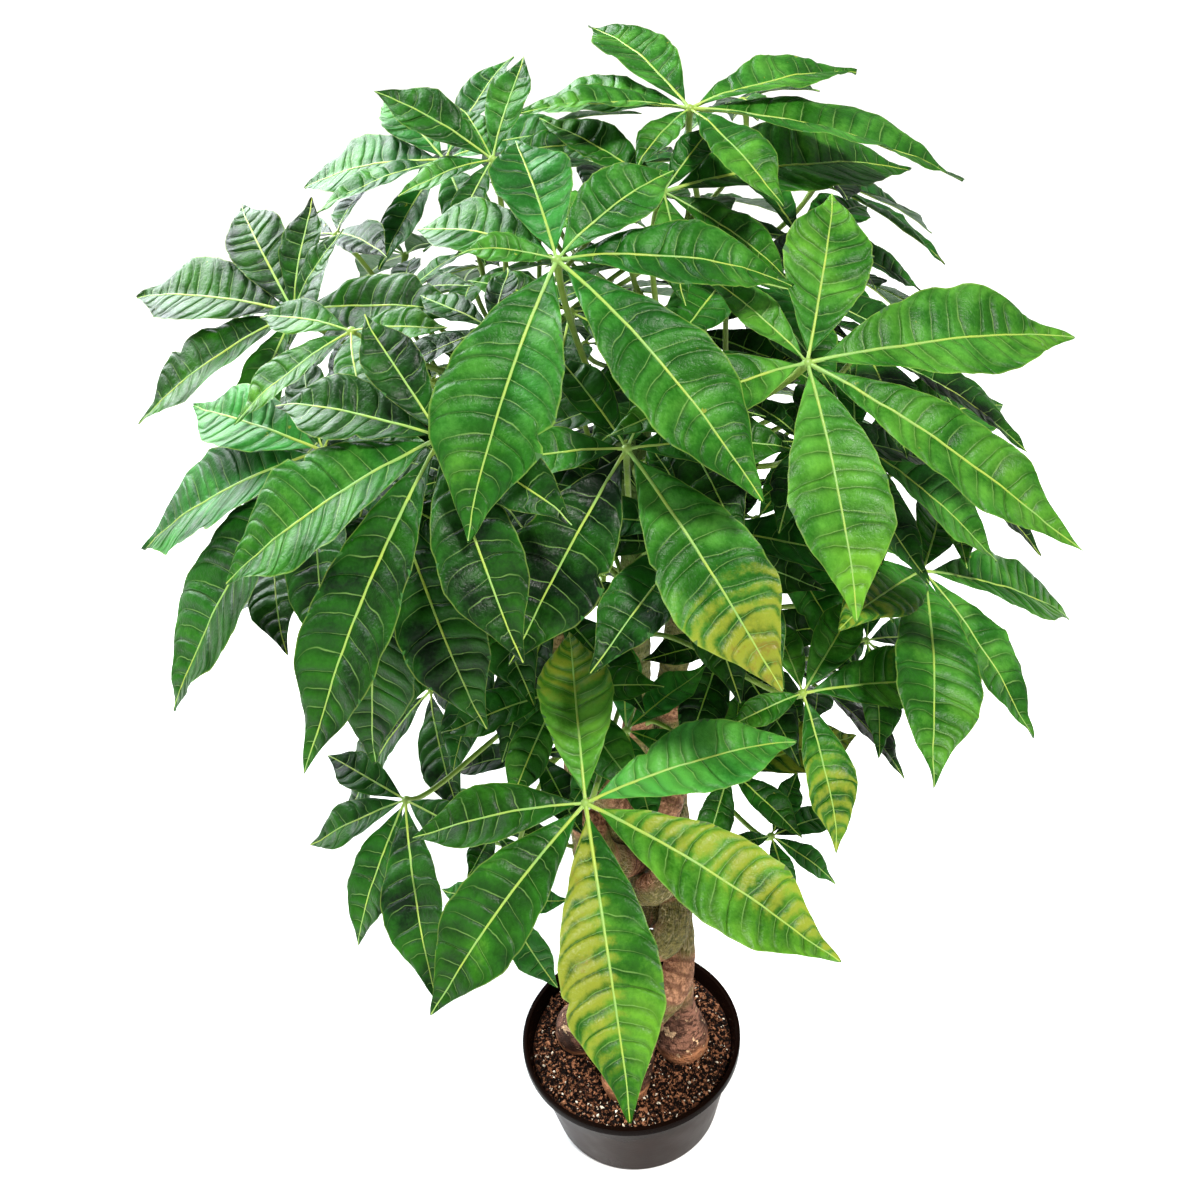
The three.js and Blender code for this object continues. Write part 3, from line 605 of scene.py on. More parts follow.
def barkMaterial():
    look = barkLook
    material, tree = newMaterial("bark", {"Roughness": 0.8, "Specular IOR Level": 0.18})
    along = attribute(tree, "along")
    spot = barkSpot(attribute(tree, "girth", "Vector"), attribute(tree, "thick"), along)
    tones = mottled(spot, look["mottle"])
    # Stretched cells make the net of pale cracks on the green bark
    net = cells(stretched(spot, look["net"]), 1.0, "DISTANCE_TO_EDGE")
    cracks = product(rise(net, 0.14, 0.02), tones["Broad"])
    green = blend(tones["Fine"], look["moss"], look["olive"])
    green = overlay(green, cracks, 0.7, look["fissure"])
    # Ringed pinkish bands with old leaf scars
    wander = scaleAdd(tones["Broad"], 3.0, product(along, look["scarRate"]))
    rings = rise(calc("SINE", wander), 0.2, 0.95)
    pink = blend(tones["Fine"], look["pink"], look["pinkDark"])
    pink = overlay(pink, rings, 0.65, look["pinkDark"])
    bands = noiseAt(stretched(spot, look["bands"]), 1.0, 2.0, 0.5, 0.6)
    trunk = blend(rise(bands, 0.47, 0.56), green, pink)
    # The swollen feet are brown and wrinkled, with a fibrous orange collar at the soil
    foot = blend(tones["Broad"], look["bulb"], look["bulbDark"])
    wrinkles = noiseAt(stretched(spot, look["wrinkles"]), 1.0, 3.0, 0.7, 0.5)
    foot = overlay(foot, rise(wrinkles, 0.46, 0.6), 0.85, look["bulbDark"])
    threads = noiseAt(stretched(spot, look["threads"]), 1.0, 3.0)
    fibre = blend(threads, look["bulb"], look["fibre"])
    flakes = rise(noiseAt(spot, look["flakes"], 2.0), 0.62, 0.66)
    fibre = overlay(fibre, flakes, 0.8, look["flake"])
    height = split(objectPlace(tree))[2]
    ragged = scaleAdd(tones["Broad"], look["ragged"], height)
    foot = blend(rise(ragged, *look["collar"]), foot, fibre)
    foot = overlay(foot, flakes, rise(ragged, *look["flaking"]), look["flake"])
    colour = blend(rise(ragged, *look["footTop"]), foot, trunk)
    colour = blend(rise(height, *look["shootFrom"]), colour, look["shoot"])
    relief = scaleAdd(cracks, -0.8, product(tones["Fine"], 0.6))
    relief = scaleAdd(wrinkles, 1.2, scaleAdd(rings, -0.5, relief))
    return dress(material, colour, scaleAdd(tones["Fine"], *look["rough"]), relief, look["bump"])


def buildStems():
    look = barkLook
    tree = barkTree()
    bark = barkMaterial()
    lines = []
    for name in stemNames:
        reach, centres, radii = readStem(name)
        lines.append((centres, radii))
        wanted = np.linspace(0, reach[-1], look["steps"])
        line = throughPoints(reach, centres, wanted)
        thick = np.maximum(throughPoints(reach, radii, wanted), look["thinnest"])
        # The strands press against each other in the braid
        braided = smooth(line[:, 2], *look["braidFrom"]) * smooth(line[:, 2], *look["braidTo"])
        thick = thick + look["pressed"] * braided
        # The tip is rounded off
        left = np.clip((reach[-1] - wanted) / look["tipRounding"], look["tipEnd"], 1)
        thick = thick * np.sqrt(1 - (1 - left) ** 2)
        stem = newPiece(f"{name}_bark", line, [], [(i, i + 1) for i in range(len(line) - 1)])
        setValues(stem.data, "thick", thick)
        setValues(stem.data, "along", wanted)
        applyTree(stem, tree, {"Sides": look["sides"], "Knot height": look["knots"],
                               "Ring depth": look["ringDepth"], "Bark material": bark})
        finishPiece(stem, "bark", name)
    return lines


stemLines = buildStems()
print("stems made")
buildSoil([centres[0] for centres, _ in stemLines])
print("soil made")


# Leaves
leafNames = sorted(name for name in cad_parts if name.startswith("leaf_"))
stations = np.array([0, 0.2, 0.45, 0.72, 1])  # where the CAD leaflets have their cross sections
leafLook = dict(
    foot=0.04, bellyPower=1.159, outlinePower=0.85, dripTip=0.5, dripFrom=(0.64, 0.97),
    fine=dict(columns=12, rowsPerVein=4, ribPoints=22, sides=10),
    shaded=dict(columns=8, rowsPerVein=3, ribPoints=16, sides=8),
    inner=dict(columns=6, rowsPerVein=3, ribPoints=12, sides=6),
    shadedFrom=26, tone=(0.25, 0.7), shadedTone=(0.0, 0.35), warmth=(0.15, 0.75), seed=27,
    toneSwing=(-0.15, 0.15), warmthSwing=(-0.1, 0.1), sameAzimuth=20,
    firstRow=0.01, rowSpan=0.986, rowPower=0.92, lastRow=0.998,
    veinSpacing=0.0125, fewestVeins=7, mostVeins=17, veinLean=(0.15, 0.4), leanScale=1.6,
    veinSpread=0.14, veinRates=(0.37, 0.61),
    edgeRates=(2.6, 6.1, 11.0), edgeWander=0.012, sideShare=0.05,
    nibbleShare=0.3, nibbleAt=(0.3, 0.9), nibbleLength=(0.012, 0.025), nibbleDepth=(0.1, 0.25),
    fold=0.213, thickness=0.0005, quilt=0.0012, puffs=(0.2, 1.6), puffShare=(0.35, 1.15),
    wave=0.0022, waveRates=(2.2, 3.9, 6.3), waveGain=1.6, commonWidth=0.07, commonLength=0.2,
    crumple=0.0014, crumpleScale=38, dents=0.0005, dentScale=120, hook=0.003,
    ribRadius=0.0015, ribEnd=0.0005, ribReach=0.99, petioleRadius=0.0022, petiolePoints=24,
    topSwell=0.35, footSwell=0.7, petioleLime=0.35, hubLime=0.6,
    knob=((-0.0045, -0.0028, 0.0, 0.0016, 0.0026, 0.0029), (0.0024, 0.0033, 0.0036, 0.003, 0.0017, 0.0003)),
    hubRise=0.0017, hubDrop=0.003, rootDepth=0.004,
    mottle=(26, 330, 300), upperRough=(0.16, 0.32), upperBump=(0.9, 0.0012),
    underRough=(0.2, 0.5), underBump=(0.6, 0.0008),
    stalkMottle=(40, 420, 600), stalkRough=(0.18, 0.34), stalkBump=(0.25, 0.0004),
    dark=(0.001, 0.013, 0.001), middle=(0.015, 0.115, 0.005), light=(0.09, 0.34, 0.035),
    cool=(0.65, 0.95, 1.6), warm=(1.5, 1.05, 0.55),
    vein=(0.27, 0.5, 0.12), rib=(0.42, 0.55, 0.07), edge=(0.3, 0.44, 0.08),
    yellow=(0.3, 0.33, 0.03), olive=(0.12, 0.16, 0.025), brown=(0.2, 0.085, 0.02),
    under=(0.055, 0.14, 0.04), underVein=(0.19, 0.31, 0.1),
    petiole=(0.13, 0.24, 0.03), hub=(0.24, 0.36, 0.05),
)

# Leaflets that have turned yellow: azimuth in the fan, amount, side of the rib (0 for both), and from and
# up to which share of the length
oldLeaflets = {
    "leaf_04": [(4, 0.8, -1, 0.0, 0.8), (56, 0.62, 1, 0.1, 1.2), (-179, 0.55, 0, 0.5, 1.2)],
    "leaf_06": [(-13, 0.45, 0, 0.35, 1.2), (72, 0.4, 0, 0.5, 1.2)],
    "leaf_07": [(-104, 0.4, 0, 0.5, 1.2)],
    "leaf_11": [(28, 0.9, 0, 0.6, 1.2)],
    "leaf_23": [(78, 0.75, 0, 0.2, 1.2)],
}

# Leaflets whose tone shows in the photo: azimuth in the fan (None for the rest of the leaf), from dark 0 to
# light 1, and from cool 0 to warm 1
# These tones hold painted light and shade as well as each leaflet's own colour: dark for a leaflet in shade,
# light for a lit one, and cool for one with a bluish sheen.
leafletTonesWithPaintedLight = {
    "leaf_01": [(None, 0.62, 0.55)],
    "leaf_02": [(-175, 0.6, 0.0), (None, 0.58, 0.4)],
    "leaf_03": [(-10, 0.92, 0.65), (None, 0.72, 0.6)],
    "leaf_04": [(4, 0.6, 0.7), (56, 0.8, 0.8), (107, 1.0, 0.25), (-179, 1.0, 0.8), (None, 0.32, 0.6)],
    "leaf_06": [(None, 0.6, 0.6)],
    "leaf_07": [(None, 0.6, 0.5)],
    "leaf_10": [(-93, 0.85, 0.0), (-56, 0.6, 0.0)],
    "leaf_11": [(-34, 0.0, 0.5), (28, 0.6, 0.5), (None, 0.4, 0.5)],
    "leaf_14": [(-56, 0.4, 0.4), (None, 0.12, 0.5)],
    "leaf_15": [(None, 0.1, 0.5)],
    "leaf_19": [(None, 0.15, 0.5)],
    "leaf_21": [(None, 0.1, 0.5)],
    "leaf_26": [(None, 0.35, 0.4)],
}


# One leaf from its node: hub, face, petiole and for each leaflet its middle line, side way and width.
# In the closed node a tip touches four points, and so do the two edge points beside it.
def readLeaf(name):
    points, near = readNode(name)
    narrow = {i for i, group in enumerate(near) if len(group) == 4}
    tips = [i for i in sorted(narrow) if len(near[i] & narrow) == 2]
    leaflets, faces = [], []
    rim, under, stalkRing = set(), set(), set()
    for tip in tips:
        sides = sorted(near[tip] & narrow)
        spine = sorted(near[tip] - narrow)
        middle = points[spine].mean(0)
        raised = points[sides].mean(0) - middle
        spine.sort(key=lambda i: -np.dot(points[i] - middle, raised))
        leftward = np.cross(points[spine[0]] - points[spine[1]], points[tip] - middle)
        sides.sort(key=lambda i: -np.dot(points[i] - middle, leftward))
        sections = [(*sides, *spine)]  # left, right, top, bottom
        outer = {tip}
        for _ in range(3):
            left, right, top, bottom = sections[0]
            known = outer | set(sections[0])
            outer = set(sections[0])
            (newLeft,) = near[left] - known
            (newRight,) = near[right] - known
            inward = known | {newLeft, newRight}
            (newTop,) = near[top] - inward
            (newBottom,) = near[bottom] - inward
            sections.insert(0, (newLeft, newRight, newTop, newBottom))
        first, inner = sections[0], sections[1]
        rim |= {first[0], first[1]}
        under.add(first[3])
        stalkRing |= near[first[3]] - {first[0], first[1], inner[0], inner[1], inner[3]}
        (crown,) = near[first[2]] - {first[0], first[1], inner[0], inner[1], inner[2]}
        faces.append(unit(points[first[2]] - points[first[3]]))
        outline = points[[[s[0], s[1]] for s in sections[1:]]]
        middles = points[[[s[2], s[3]] for s in sections[1:]]].mean(1)
        leaflets.append(dict(middles=[*middles, points[tip]], edges=outline))
    face = unit(np.mean(faces, axis=0))
    hub = points[crown] - face * leafLook["hubRise"]
    rings = walkRings(near, stalkRing, rim | under)
    inner = np.array([points[ring].mean(0) for ring in rings[1:4]])
    foot = points[rings[-1]].mean(0)
    top = hub - face * leafLook["hubDrop"]
    leaf = dict(name=name, hub=hub, face=face, petiole=petioleLine(top, inner, foot))
    leaf["leaflets"] = [fitLeaflet(leaf, leaflet) for leaflet in leaflets]
    return leaf


# The petiole is one curve of four control points; its three inner rings give the two middle ones.
def petioleLine(top, inner, foot):
    t = np.array([0.25, 0.5, 0.75])[:, None]
    weights = np.hstack([3 * t * (1 - t) ** 2, 3 * t ** 2 * (1 - t)])
    rest = inner - (1 - t) ** 3 * top - t ** 3 * foot
    first, second = np.linalg.lstsq(weights, rest, rcond=None)[0]
    return np.array([top, first, second, foot])


def curvePoints(controls, count):
    t = np.linspace(0, 1, count)[:, None]
    parts = ((1 - t) ** 3, 3 * t * (1 - t) ** 2, 3 * t ** 2 * (1 - t), t ** 3)
    return sum(part * control for part, control in zip(parts, controls))


def outlineShare(t):
    share = np.clip((t - leafLook["foot"]) / (1 - leafLook["foot"]), 0, 1)
    return np.sin(math.pi * share ** leafLook["bellyPower"]) ** leafLook["outlinePower"]


# The two ways that span a leaf's fan: down its slope, and to the side of that
def fanWays(face):
    level = unit(np.array([face[0], face[1], 0]))
    down = level * face[2] - plumb * math.hypot(face[0], face[1])
    return down, np.cross(face, down)


# A leaflet of the CAD part as one smooth line through its stations, its side ways, width and length
def fitLeaflet(leaf, leaflet):
    line = np.array([leaf["hub"], *leaflet["middles"]])
    across = leaflet["edges"][:, 0] - leaflet["edges"][:, 1]
    widths = np.linalg.norm(across, axis=1) / outlineShare(stations[1:4])
    length = np.linalg.norm(np.diff(line, axis=0), axis=1).sum()
    toward = line[-1] - leaf["hub"]
    down, aside = fanWays(leaf["face"])
    azimuth = math.degrees(math.atan2(np.dot(toward, aside), np.dot(toward, down)))
    bend = np.polyfit(stations, line, 4)
    return dict(bend=bend, lefts=unit(across), width=widths.mean(), length=length, azimuth=azimuth)


def between(t, places, rows):
    return np.stack([np.interp(t, places, rows[:, k]) for k in range(3)], axis=1)


# Position, way along, way to the left and way up of a leaflet's middle line
def alongLeaflet(leaflet, t):
    def at(u):
        return np.vander(u, 5) @ leaflet["bend"]
    along = unit(at(t + 0.01) - at(t - 0.01))
    left = between(t, stations[1:4], leaflet["lefts"])
    left = unit(left - along * dot(along, left))
    return at(t), along, left, np.cross(along, left)


# The first row that fits a leaflet, without its azimuth
def rowFor(table, leaf, leaflet, otherwise):
    for azimuth, *rest in table.get(leaf["name"], ()):
        turn = 0 if azimuth is None else (leaflet["azimuth"] - azimuth + 180) % 360 - 180
        if abs(turn) < leafLook["sameAzimuth"]:
            return rest
    return otherwise


def leafletTone(leaf, leaflet, random):
    tone = leaf["tone"] + random.uniform(*leafLook["toneSwing"])
    warmth = leaf["warmth"] + random.uniform(*leafLook["warmthSwing"])
    return np.clip(rowFor(leafletTonesWithPaintedLight, leaf, leaflet, (tone, warmth)), 0, 1)


# Slow waves along a leaflet, of their own on each side of the rib
def sideWaves(random, t, side, rates):
    total = np.zeros(t.shape)
    for rate in rates:
        left, right = random.uniform(0, 2 * math.pi, 2)
        total += np.sin(2 * math.pi * rate * t + np.where(side > 0, left, right))
    return total


# How wide a leaflet is on each side: a drawn out tip, an uneven margin and here and there a small bite
def halfWidth(leaflet, random, t, side):
    look = leafLook
    half = leaflet["width"] / 2 * outlineShare(t) * (1 - look["dripTip"] * smooth(t, *look["dripFrom"]))
    wander = sideWaves(random, t, side, look["edgeRates"]) * smooth(t, 0.1, 0.3)
    half = half * (1 + look["edgeWander"] * wander)
    half = half * (1 + random.uniform(-1, 1) * look["sideShare"] * np.sign(side))
    if random.random() < look["nibbleShare"]:
        place = random.uniform(*look["nibbleAt"])
        bite = np.exp(-((t - place) / random.uniform(*look["nibbleLength"])) ** 2)
        depth = random.uniform(*look["nibbleDepth"])
        half = half * (1 - depth * bite * (side * random.choice((-1, 1)) > 0))
    return half


def noiseOver(spots):
    return np.array([noise.noise(Vector(spot)) for spot in spots])


def gridFaces(grid):
    return np.stack([grid[:-1, :-1], grid[1:, :-1], grid[1:, 1:], grid[:-1, 1:]], axis=-1).reshape(-1, 4)


# The grid of a blade: its rows lean forward as the veins do. Phase counts the veins from the foot on,
# and t and share run along the leaflet, with the lean and without it.
def bladeGrid(leaf, leaflet, random):
    look = leafLook
    columns = leaf["detail"]["columns"]
    veins = round(leaflet["length"] / look["veinSpacing"])
    veins = int(np.clip(veins, look["fewestVeins"], look["mostVeins"]))
    rows = veins * leaf["detail"]["rowsPerVein"] + 1
    phase, side = np.meshgrid(np.linspace(0, veins, rows), np.linspace(-1, 1, columns + 1), indexing="ij")
    out = np.abs(side)
    share = look["firstRow"] + look["rowSpan"] * (phase / veins) ** look["rowPower"]
    lean = random.uniform(*look["veinLean"]) * leaflet["width"] / leaflet["length"] * 2 * share * (1 - share)
    t = look["foot"] + (1 - look["foot"]) * share + lean * (out + out ** 3) / look["leanScale"]
    uneven = sideWaves(random, phase, side, look["veinRates"]) * smooth(out, 0, 0.3)
    uneven = uneven * 4 * share * (1 - share)
    t = np.clip(t + look["veinSpread"] / veins * uneven, look["foot"], look["lastRow"])
    return phase, side, share, t


# A blade is a thin closed sheet, folded along its rib and puffed up between its veins.
def bladeSheet(leaf, leaflet, random):
    look = leafLook
    phase, side, share, t = bladeGrid(leaf, leaflet, random)
    rows, columns = phase.shape[0], phase.shape[1] - 1
    out = np.abs(side)
    flat = t.ravel()
    middle, _, left, above = alongLeaflet(leaflet, flat)
    half = halfWidth(leaflet, random, t, side)
    # The fold, the puffed fields, and slow waves that grow towards the edge
    height = look["fold"] * half * (1.7 * out - 0.7 * out ** 2)
    fields = (2, int(phase[-1, 0]) + 1)
    puffs = random.uniform(*look["puffs"], fields)[(side > 0).astype(int), phase.astype(int)]
    puffs = puffs * random.uniform(*look["puffShare"])
    field = np.sin(math.pi * (phase % 1) ** 0.8) * smooth(out, 0, 0.2) * (1 - 0.6 * smooth(out, 0.7, 1))
    height += look["quilt"] * puffs * field * smooth(half, 0, 0.02)
    size = leaflet["width"] / look["commonWidth"]
    for rate in look["waveRates"]:
        swing = sideWaves(random, t, side, (rate,)) * out ** 2 * smooth(share, 0, 0.2)
        height += look["wave"] * size * swing / rate * look["waveGain"]
    spots = middle + left * (side * half).reshape(-1, 1) + above * height.reshape(-1, 1)
    crumple = look["crumple"] * noiseOver(spots * look["crumpleScale"])
    crumple += look["dents"] * noiseOver(spots * look["dentScale"])
    spots = spots + above * (crumple * smooth(flat, 0.04, 0.2))[:, None]
    spots = spots + left * (random.uniform(-1, 1) * look["hook"] * smooth(flat, 0.85, 1.0))[:, None]
    spine = np.arange(rows) * (columns + 1) + columns // 2
    leaflet["spine"] = (flat[spine], spots[spine] - middle[spine])
    inner = np.zeros(t.shape, bool)
    inner[:, 1:-1] = True
    inner = inner.ravel()
    lift = above * look["thickness"] / 2
    top = spots + lift * inner[:, None]
    bottom = (spots - lift)[inner]
    numbers = np.arange(rows * (columns + 1)).reshape(rows, -1)
    below = numbers.copy()
    below.ravel()[inner] = numbers.size + np.arange(len(bottom))
    # Where the two sides share a point at the ends, a face drops the one that it names twice
    ends = []
    for row, turn in ((0, 1), (-1, -1)):
        upper, lower = numbers[row], below[row]
        for j in range(columns):
            loop = [upper[j], upper[j + 1], lower[j + 1], lower[j]]
            ends.append(list(dict.fromkeys(loop[::turn])))
    amount, ageSide, start, end = rowFor(oldLeaflets, leaf, leaflet, (0.0, 0, 0.0, 1.0))
    sided = 1.0 if ageSide == 0 else smooth(side.ravel() * ageSide, -0.5, 0.5)
    age = amount * sided * smooth(flat, start - 0.15, start + 0.25) * smooth(flat, end + 0.15, end - 0.25)
    age = np.broadcast_to(age, flat.shape)
    pick = np.concatenate([np.arange(len(top)), np.flatnonzero(inner)])
    margin = np.concatenate([~inner, np.zeros(len(bottom), bool)])
    return dict(
        points=np.concatenate([top, bottom]), upper=gridFaces(numbers), under=gridFaces(below)[:, ::-1],
        ends=ends, margin=margin,
        across=side.ravel()[pick], phase=phase.ravel()[pick], along=flat[pick], age=age[pick],
    )


# The lines of a leaf's ribs, petiole and hub, each with its thickness, how lime it is, and the way along
def stalkLines(leaf):
    look = leafLook
    lines = []
    for leaflet in leaf["leaflets"]:
        t = np.linspace(0.0, look["ribReach"], leaf["detail"]["ribPoints"])
        middle, _, _, above = alongLeaflet(leaflet, t)
        middle = middle + between(t, *leaflet["spine"])
        size = look["ribRadius"] * (leaflet["length"] / look["commonLength"]) ** 0.5
        thick = look["ribEnd"] + (size - look["ribEnd"]) * (1 - t) ** 0.85
        lines.append((middle + above * (0.1 * thick)[:, None], thick, np.ones(len(t)), t))
    # The petiole swells at both ends and runs on a little into the bark
    line = curvePoints(leaf["petiole"], look["petiolePoints"])
    root = line[-1] + unit(line[-1] - line[-2]) * look["rootDepth"]
    line = np.vstack([line, root])
    t = np.linspace(0, 1, len(line))
    swell = 1 + look["topSwell"] * smooth(t, 0.08, 0.0) + look["footSwell"] * smooth(t, 0.88, 1.0)
    lines.append((line, look["petioleRadius"] * swell, look["petioleLime"] * smooth(t, 0.3, 0.0), t))
    heights, thick = look["knob"]
    knob = leaf["hub"] + np.array(heights)[:, None] * leaf["face"]
    lines.append((knob, np.array(thick), np.full(len(thick), look["hubLime"]), np.zeros(len(thick))))
    return lines


# Sweeps the loose lines of a leaf into tubes and leaves its blades as they are
def stalkTree():
    inputs = {"Sides": "Int", "Stalk material": "Material"}
    tree, given, made = newTree("growStalks", inputs)
    isStalk = calc("GREATER_THAN", named(tree, "stalk"), 0.5)
    parts = addNode(tree, "GeometryNodeSeparateGeometry", {
        "Geometry": given["Geometry"], "Selection": isStalk}, domain="POINT")
    both = addNode(tree, "GeometryNodeJoinGeometry")
    stalks = tubes(tree, parts.outputs["Selection"], ringProfile(tree, given["Sides"]))
    feed(both.inputs[0], stalks)
    feed(both.inputs[0], parts.outputs["Inverted"])
    endTree(tree, made, both.outputs[0], given["Stalk material"], isStalk)
    return tree


# Masks from where a point lies across the blade and between its veins
def veinGroup():
    inputs = {"Across": "Float", "Phase": "Float", "Tone": "Float"}
    tree, given, made = newGroup("leafVeins", inputs, {
        "Vein": "Float", "Field": "Float", "Crease": "Float", "Edge": "Float"})
    out = calc("ABSOLUTE", given["Across"])
    place = vector(given["Across"], given["Phase"], given["Tone"])
    spot = stretched(place, (2.2, 0.9, 41.0))
    wander = scaleAdd(noiseAt(spot, 1.0, 1.0), 0.24, given["Phase"])
    hook = product(rise(out, 0.72, 1.05), 0.45)
    wander = calc("SUBTRACT", wander, calc("ADD", hook, 0.12))
    gap = calc("PINGPONG", wander, 0.5)
    fade = scaleAdd(rise(out, 0.25, 0.95), -0.8, 1.0)
    vein = product(rise(gap, 0.034, 0.008), fade)
    # The shaded side of each groove lies just beyond its vein
    crease = product(rise(calc("FRACT", wander), 0.2, 0.02), fade)
    masks = {"Vein": vein, "Field": rise(gap, 0.0, 0.42), "Crease": crease,
             "Edge": rise(out, 0.955, 0.99)}
    for label, mask in masks.items():
        feed(made[label], mask)
    return tree


def leafCoordinates(tree):
    parts = split(addNode(tree, "ShaderNodeUVMap", uv_map="veins").outputs[0])
    across = scaleAdd(parts[0], 2.0, -1.0)
    tone = attribute(tree, "tone")
    veins = useGroup(tree, veinMasks, {"Across": across, "Phase": parts[1], "Tone": tone})
    place = objectPlace(tree)
    return veins, mottled(place, leafLook["mottle"]), tone, place


def upperMaterial():
    look = leafLook
    gloss = {"Roughness": 0.4, "IOR": 1.45, "Specular IOR Level": 0.2}
    material, tree = newMaterial("leafUpper", gloss)
    veins, tones, tone, place = leafCoordinates(tree)
    drift = calc("SUBTRACT", noiseAt(place, 20.0, 3.0), 0.5)
    depth = scaleAdd(tones["Broad"], 0.36, product(tone, 0.66))
    depth = scaleAdd(drift, 0.45, depth)
    depth = scaleAdd(tones["Fine"], 0.12, calc("SUBTRACT", depth, 0.08))
    colour = shades(depth, [(0.05, look["dark"]), (0.5, look["middle"]), (0.95, look["light"])])
    warmth = scaleAdd(attribute(tree, "along"), 0.4, attribute(tree, "warmth"))
    warmth = calc("ADD", calc("SUBTRACT", warmth, 0.2), drift)
    tint = blend(warmth, look["cool"], look["warm"])
    colour = blend(1.0, colour, tint, "MULTIPLY")
    # Painted shade: each field between the veins is lighter in its middle and darker in the crease just
    # beyond its vein
    shade = scaleAdd(veins["Field"], 0.3, 0.8)
    shade = scaleAdd(veins["Crease"], -0.28, shade)
    colour = blend(1.0, colour, vector(shade, shade, shade), "MULTIPLY")
    # Yellow starts in patches, most in the fields between the veins, and browns where it is oldest
    age = attribute(tree, "age")
    patches = noiseAt(place, 75.0, 4.0, 0.75)
    spread = scaleAdd(calc("SUBTRACT", patches, 0.5), 1.7, age)
    spread = scaleAdd(veins["Field"], 0.6, spread)
    ripe = product(rise(spread, 0.5, 1.35), rise(age, 0.0, 0.25))
    colour = overlay(colour, ripe, 0.8, look["yellow"])
    burnt = rise(calc("ADD", age, patches), 1.38, 1.55)
    colour = overlay(colour, burnt, 0.45, look["brown"])
    colour = overlay(colour, veins["Vein"], 0.5, look["vein"])
    colour = overlay(colour, veins["Edge"], 0.35, look["edge"])
    # A few pale nicks
    nicks = rise(cells(place, 60.0), 0.12, 0.07)
    nicks = product(nicks, rise(patches, 0.58, 0.62))
    colour = overlay(colour, nicks, 0.7, look["yellow"])
    relief = scaleAdd(veins["Field"], 0.5, product(veins["Crease"], -0.4))
    relief = scaleAdd(tones["Fine"], 0.2, relief)
    rough = scaleAdd(tones["Fine"], *look["upperRough"])
    return dress(material, colour, rough, relief, look["upperBump"])


def underMaterial():
    look = leafLook
    material, tree = newMaterial("leafUnder", {"Roughness": 0.6, "Specular IOR Level": 0.35})
    veins, tones, tone, _ = leafCoordinates(tree)
    depth = scaleAdd(tones["Broad"], 0.5, product(tone, 0.5))
    colour = blend(depth, look["middle"], look["under"])
    colour = overlay(colour, attribute(tree, "age"), 0.6, look["olive"])
    colour = overlay(colour, veins["Vein"], 0.8, look["underVein"])
    rough = scaleAdd(tones["Fine"], *look["underRough"])
    return dress(material, colour, rough, veins["Vein"], look["underBump"])


def stalkMaterial():
    look = leafLook
    material, tree = newMaterial("ribAndPetiole", {"Roughness": 0.42, "Specular IOR Level": 0.45})
    tones = mottled(objectPlace(tree), look["stalkMottle"])
    colour = blend(tones["Broad"], look["petiole"], look["hub"])
    lime = blend(tones["Broad"], look["rib"], look["vein"])
    colour = blend(attribute(tree, "lime"), colour, lime)
    colour = overlay(colour, tones["Specks"], 0.25, look["olive"])
    rough = scaleAdd(tones["Fine"], *look["stalkRough"])
    return dress(material, colour, rough, tones["Fine"], look["stalkBump"])


# One leaf as one piece: blades, then ribs, petiole and hub, each point with its values for the materials
def buildLeaf(leaf, random, name, *nodes):
    points, faces, kinds, edges = [], [], [], []
    pointKeys = ("stalk", "thick", "lime", "along", "tone", "warmth", "age")
    parts = {key: [] for key in (*pointKeys, "across", "phase", "margin")}
    count = 0

    def keep(values, size):
        for key, layer in parts.items():
            value = values.get(key, 0.0)
            layer.append(np.broadcast_to(np.asarray(value, float), (size,)))

    for leaflet in leaf["leaflets"]:
        sheet = bladeSheet(leaf, leaflet, random)
        points.append(sheet["points"])
        for quads, kind in ((sheet["upper"], 0), (sheet["under"], 1), (sheet["ends"], 1)):
            faces += [tuple(int(i) + count for i in quad) for quad in quads]
            kinds += [kind] * len(quads)
        tone, warmth = leafletTone(leaf, leaflet, random)
        own = {key: sheet[key] for key in ("along", "age", "across", "phase", "margin")}
        keep({**own, "tone": tone, "warmth": warmth}, len(sheet["points"]))
        count += len(sheet["points"])
    for line, thick, lime, along in stalkLines(leaf):
        points.append(line)
        edges += [(count + i, count + i + 1) for i in range(len(line) - 1)]
        keep({"stalk": 1.0, "thick": thick, "lime": lime, "along": along}, len(line))
        count += len(line)
    piece = newPiece(name, np.concatenate(points), faces, edges, [leafUpper, leafUnder])
    mesh = piece.data
    layers = {key: np.concatenate(layer) for key, layer in parts.items()}
    for key in pointKeys:
        setValues(mesh, key, layers[key])
    mesh.polygons.foreach_set("material_index", kinds)
    corners = np.zeros(len(mesh.loops), int)
    mesh.loops.foreach_get("vertex_index", corners)
    uv = np.stack([layers["across"] / 2 + 0.5, layers["phase"]], axis=1)[corners]
    mesh.uv_layers.new(name="veins").data.foreach_set("uv", uv.ravel())
    ends = np.zeros(len(mesh.edges) * 2, int)
    mesh.edges.foreach_get("vertices", ends)
    sharp = layers["margin"].astype(bool)[ends].reshape(-1, 2).all(1)
    setValues(mesh, "sharp_edge", sharp, "BOOLEAN", "EDGE")
    applyTree(piece, stalks, {"Sides": leaf["detail"]["sides"], "Stalk material": ribAndPetiole})
    finishPiece(piece, "leaf", *nodes)


def buildCrown():
    look = leafLook
    leaves = []
    for number, name in enumerate(leafNames):
        random = np.random.default_rng(look["seed"] + number)
        leaf = readLeaf(name)
        shaded = number >= look["shadedFrom"]
        # The later, shaded leaves get darker tones: painted shade.
        leaf["tone"] = random.uniform(*look["shadedTone" if shaded else "tone"])
        leaf["warmth"] = random.uniform(*look["warmth"])
        leaf["detail"] = look["shaded"] if shaded else look["fine"]
        buildLeaf(leaf, random, f"{name}_foliage", name)
        leaves.append(leaf)
    return leaves


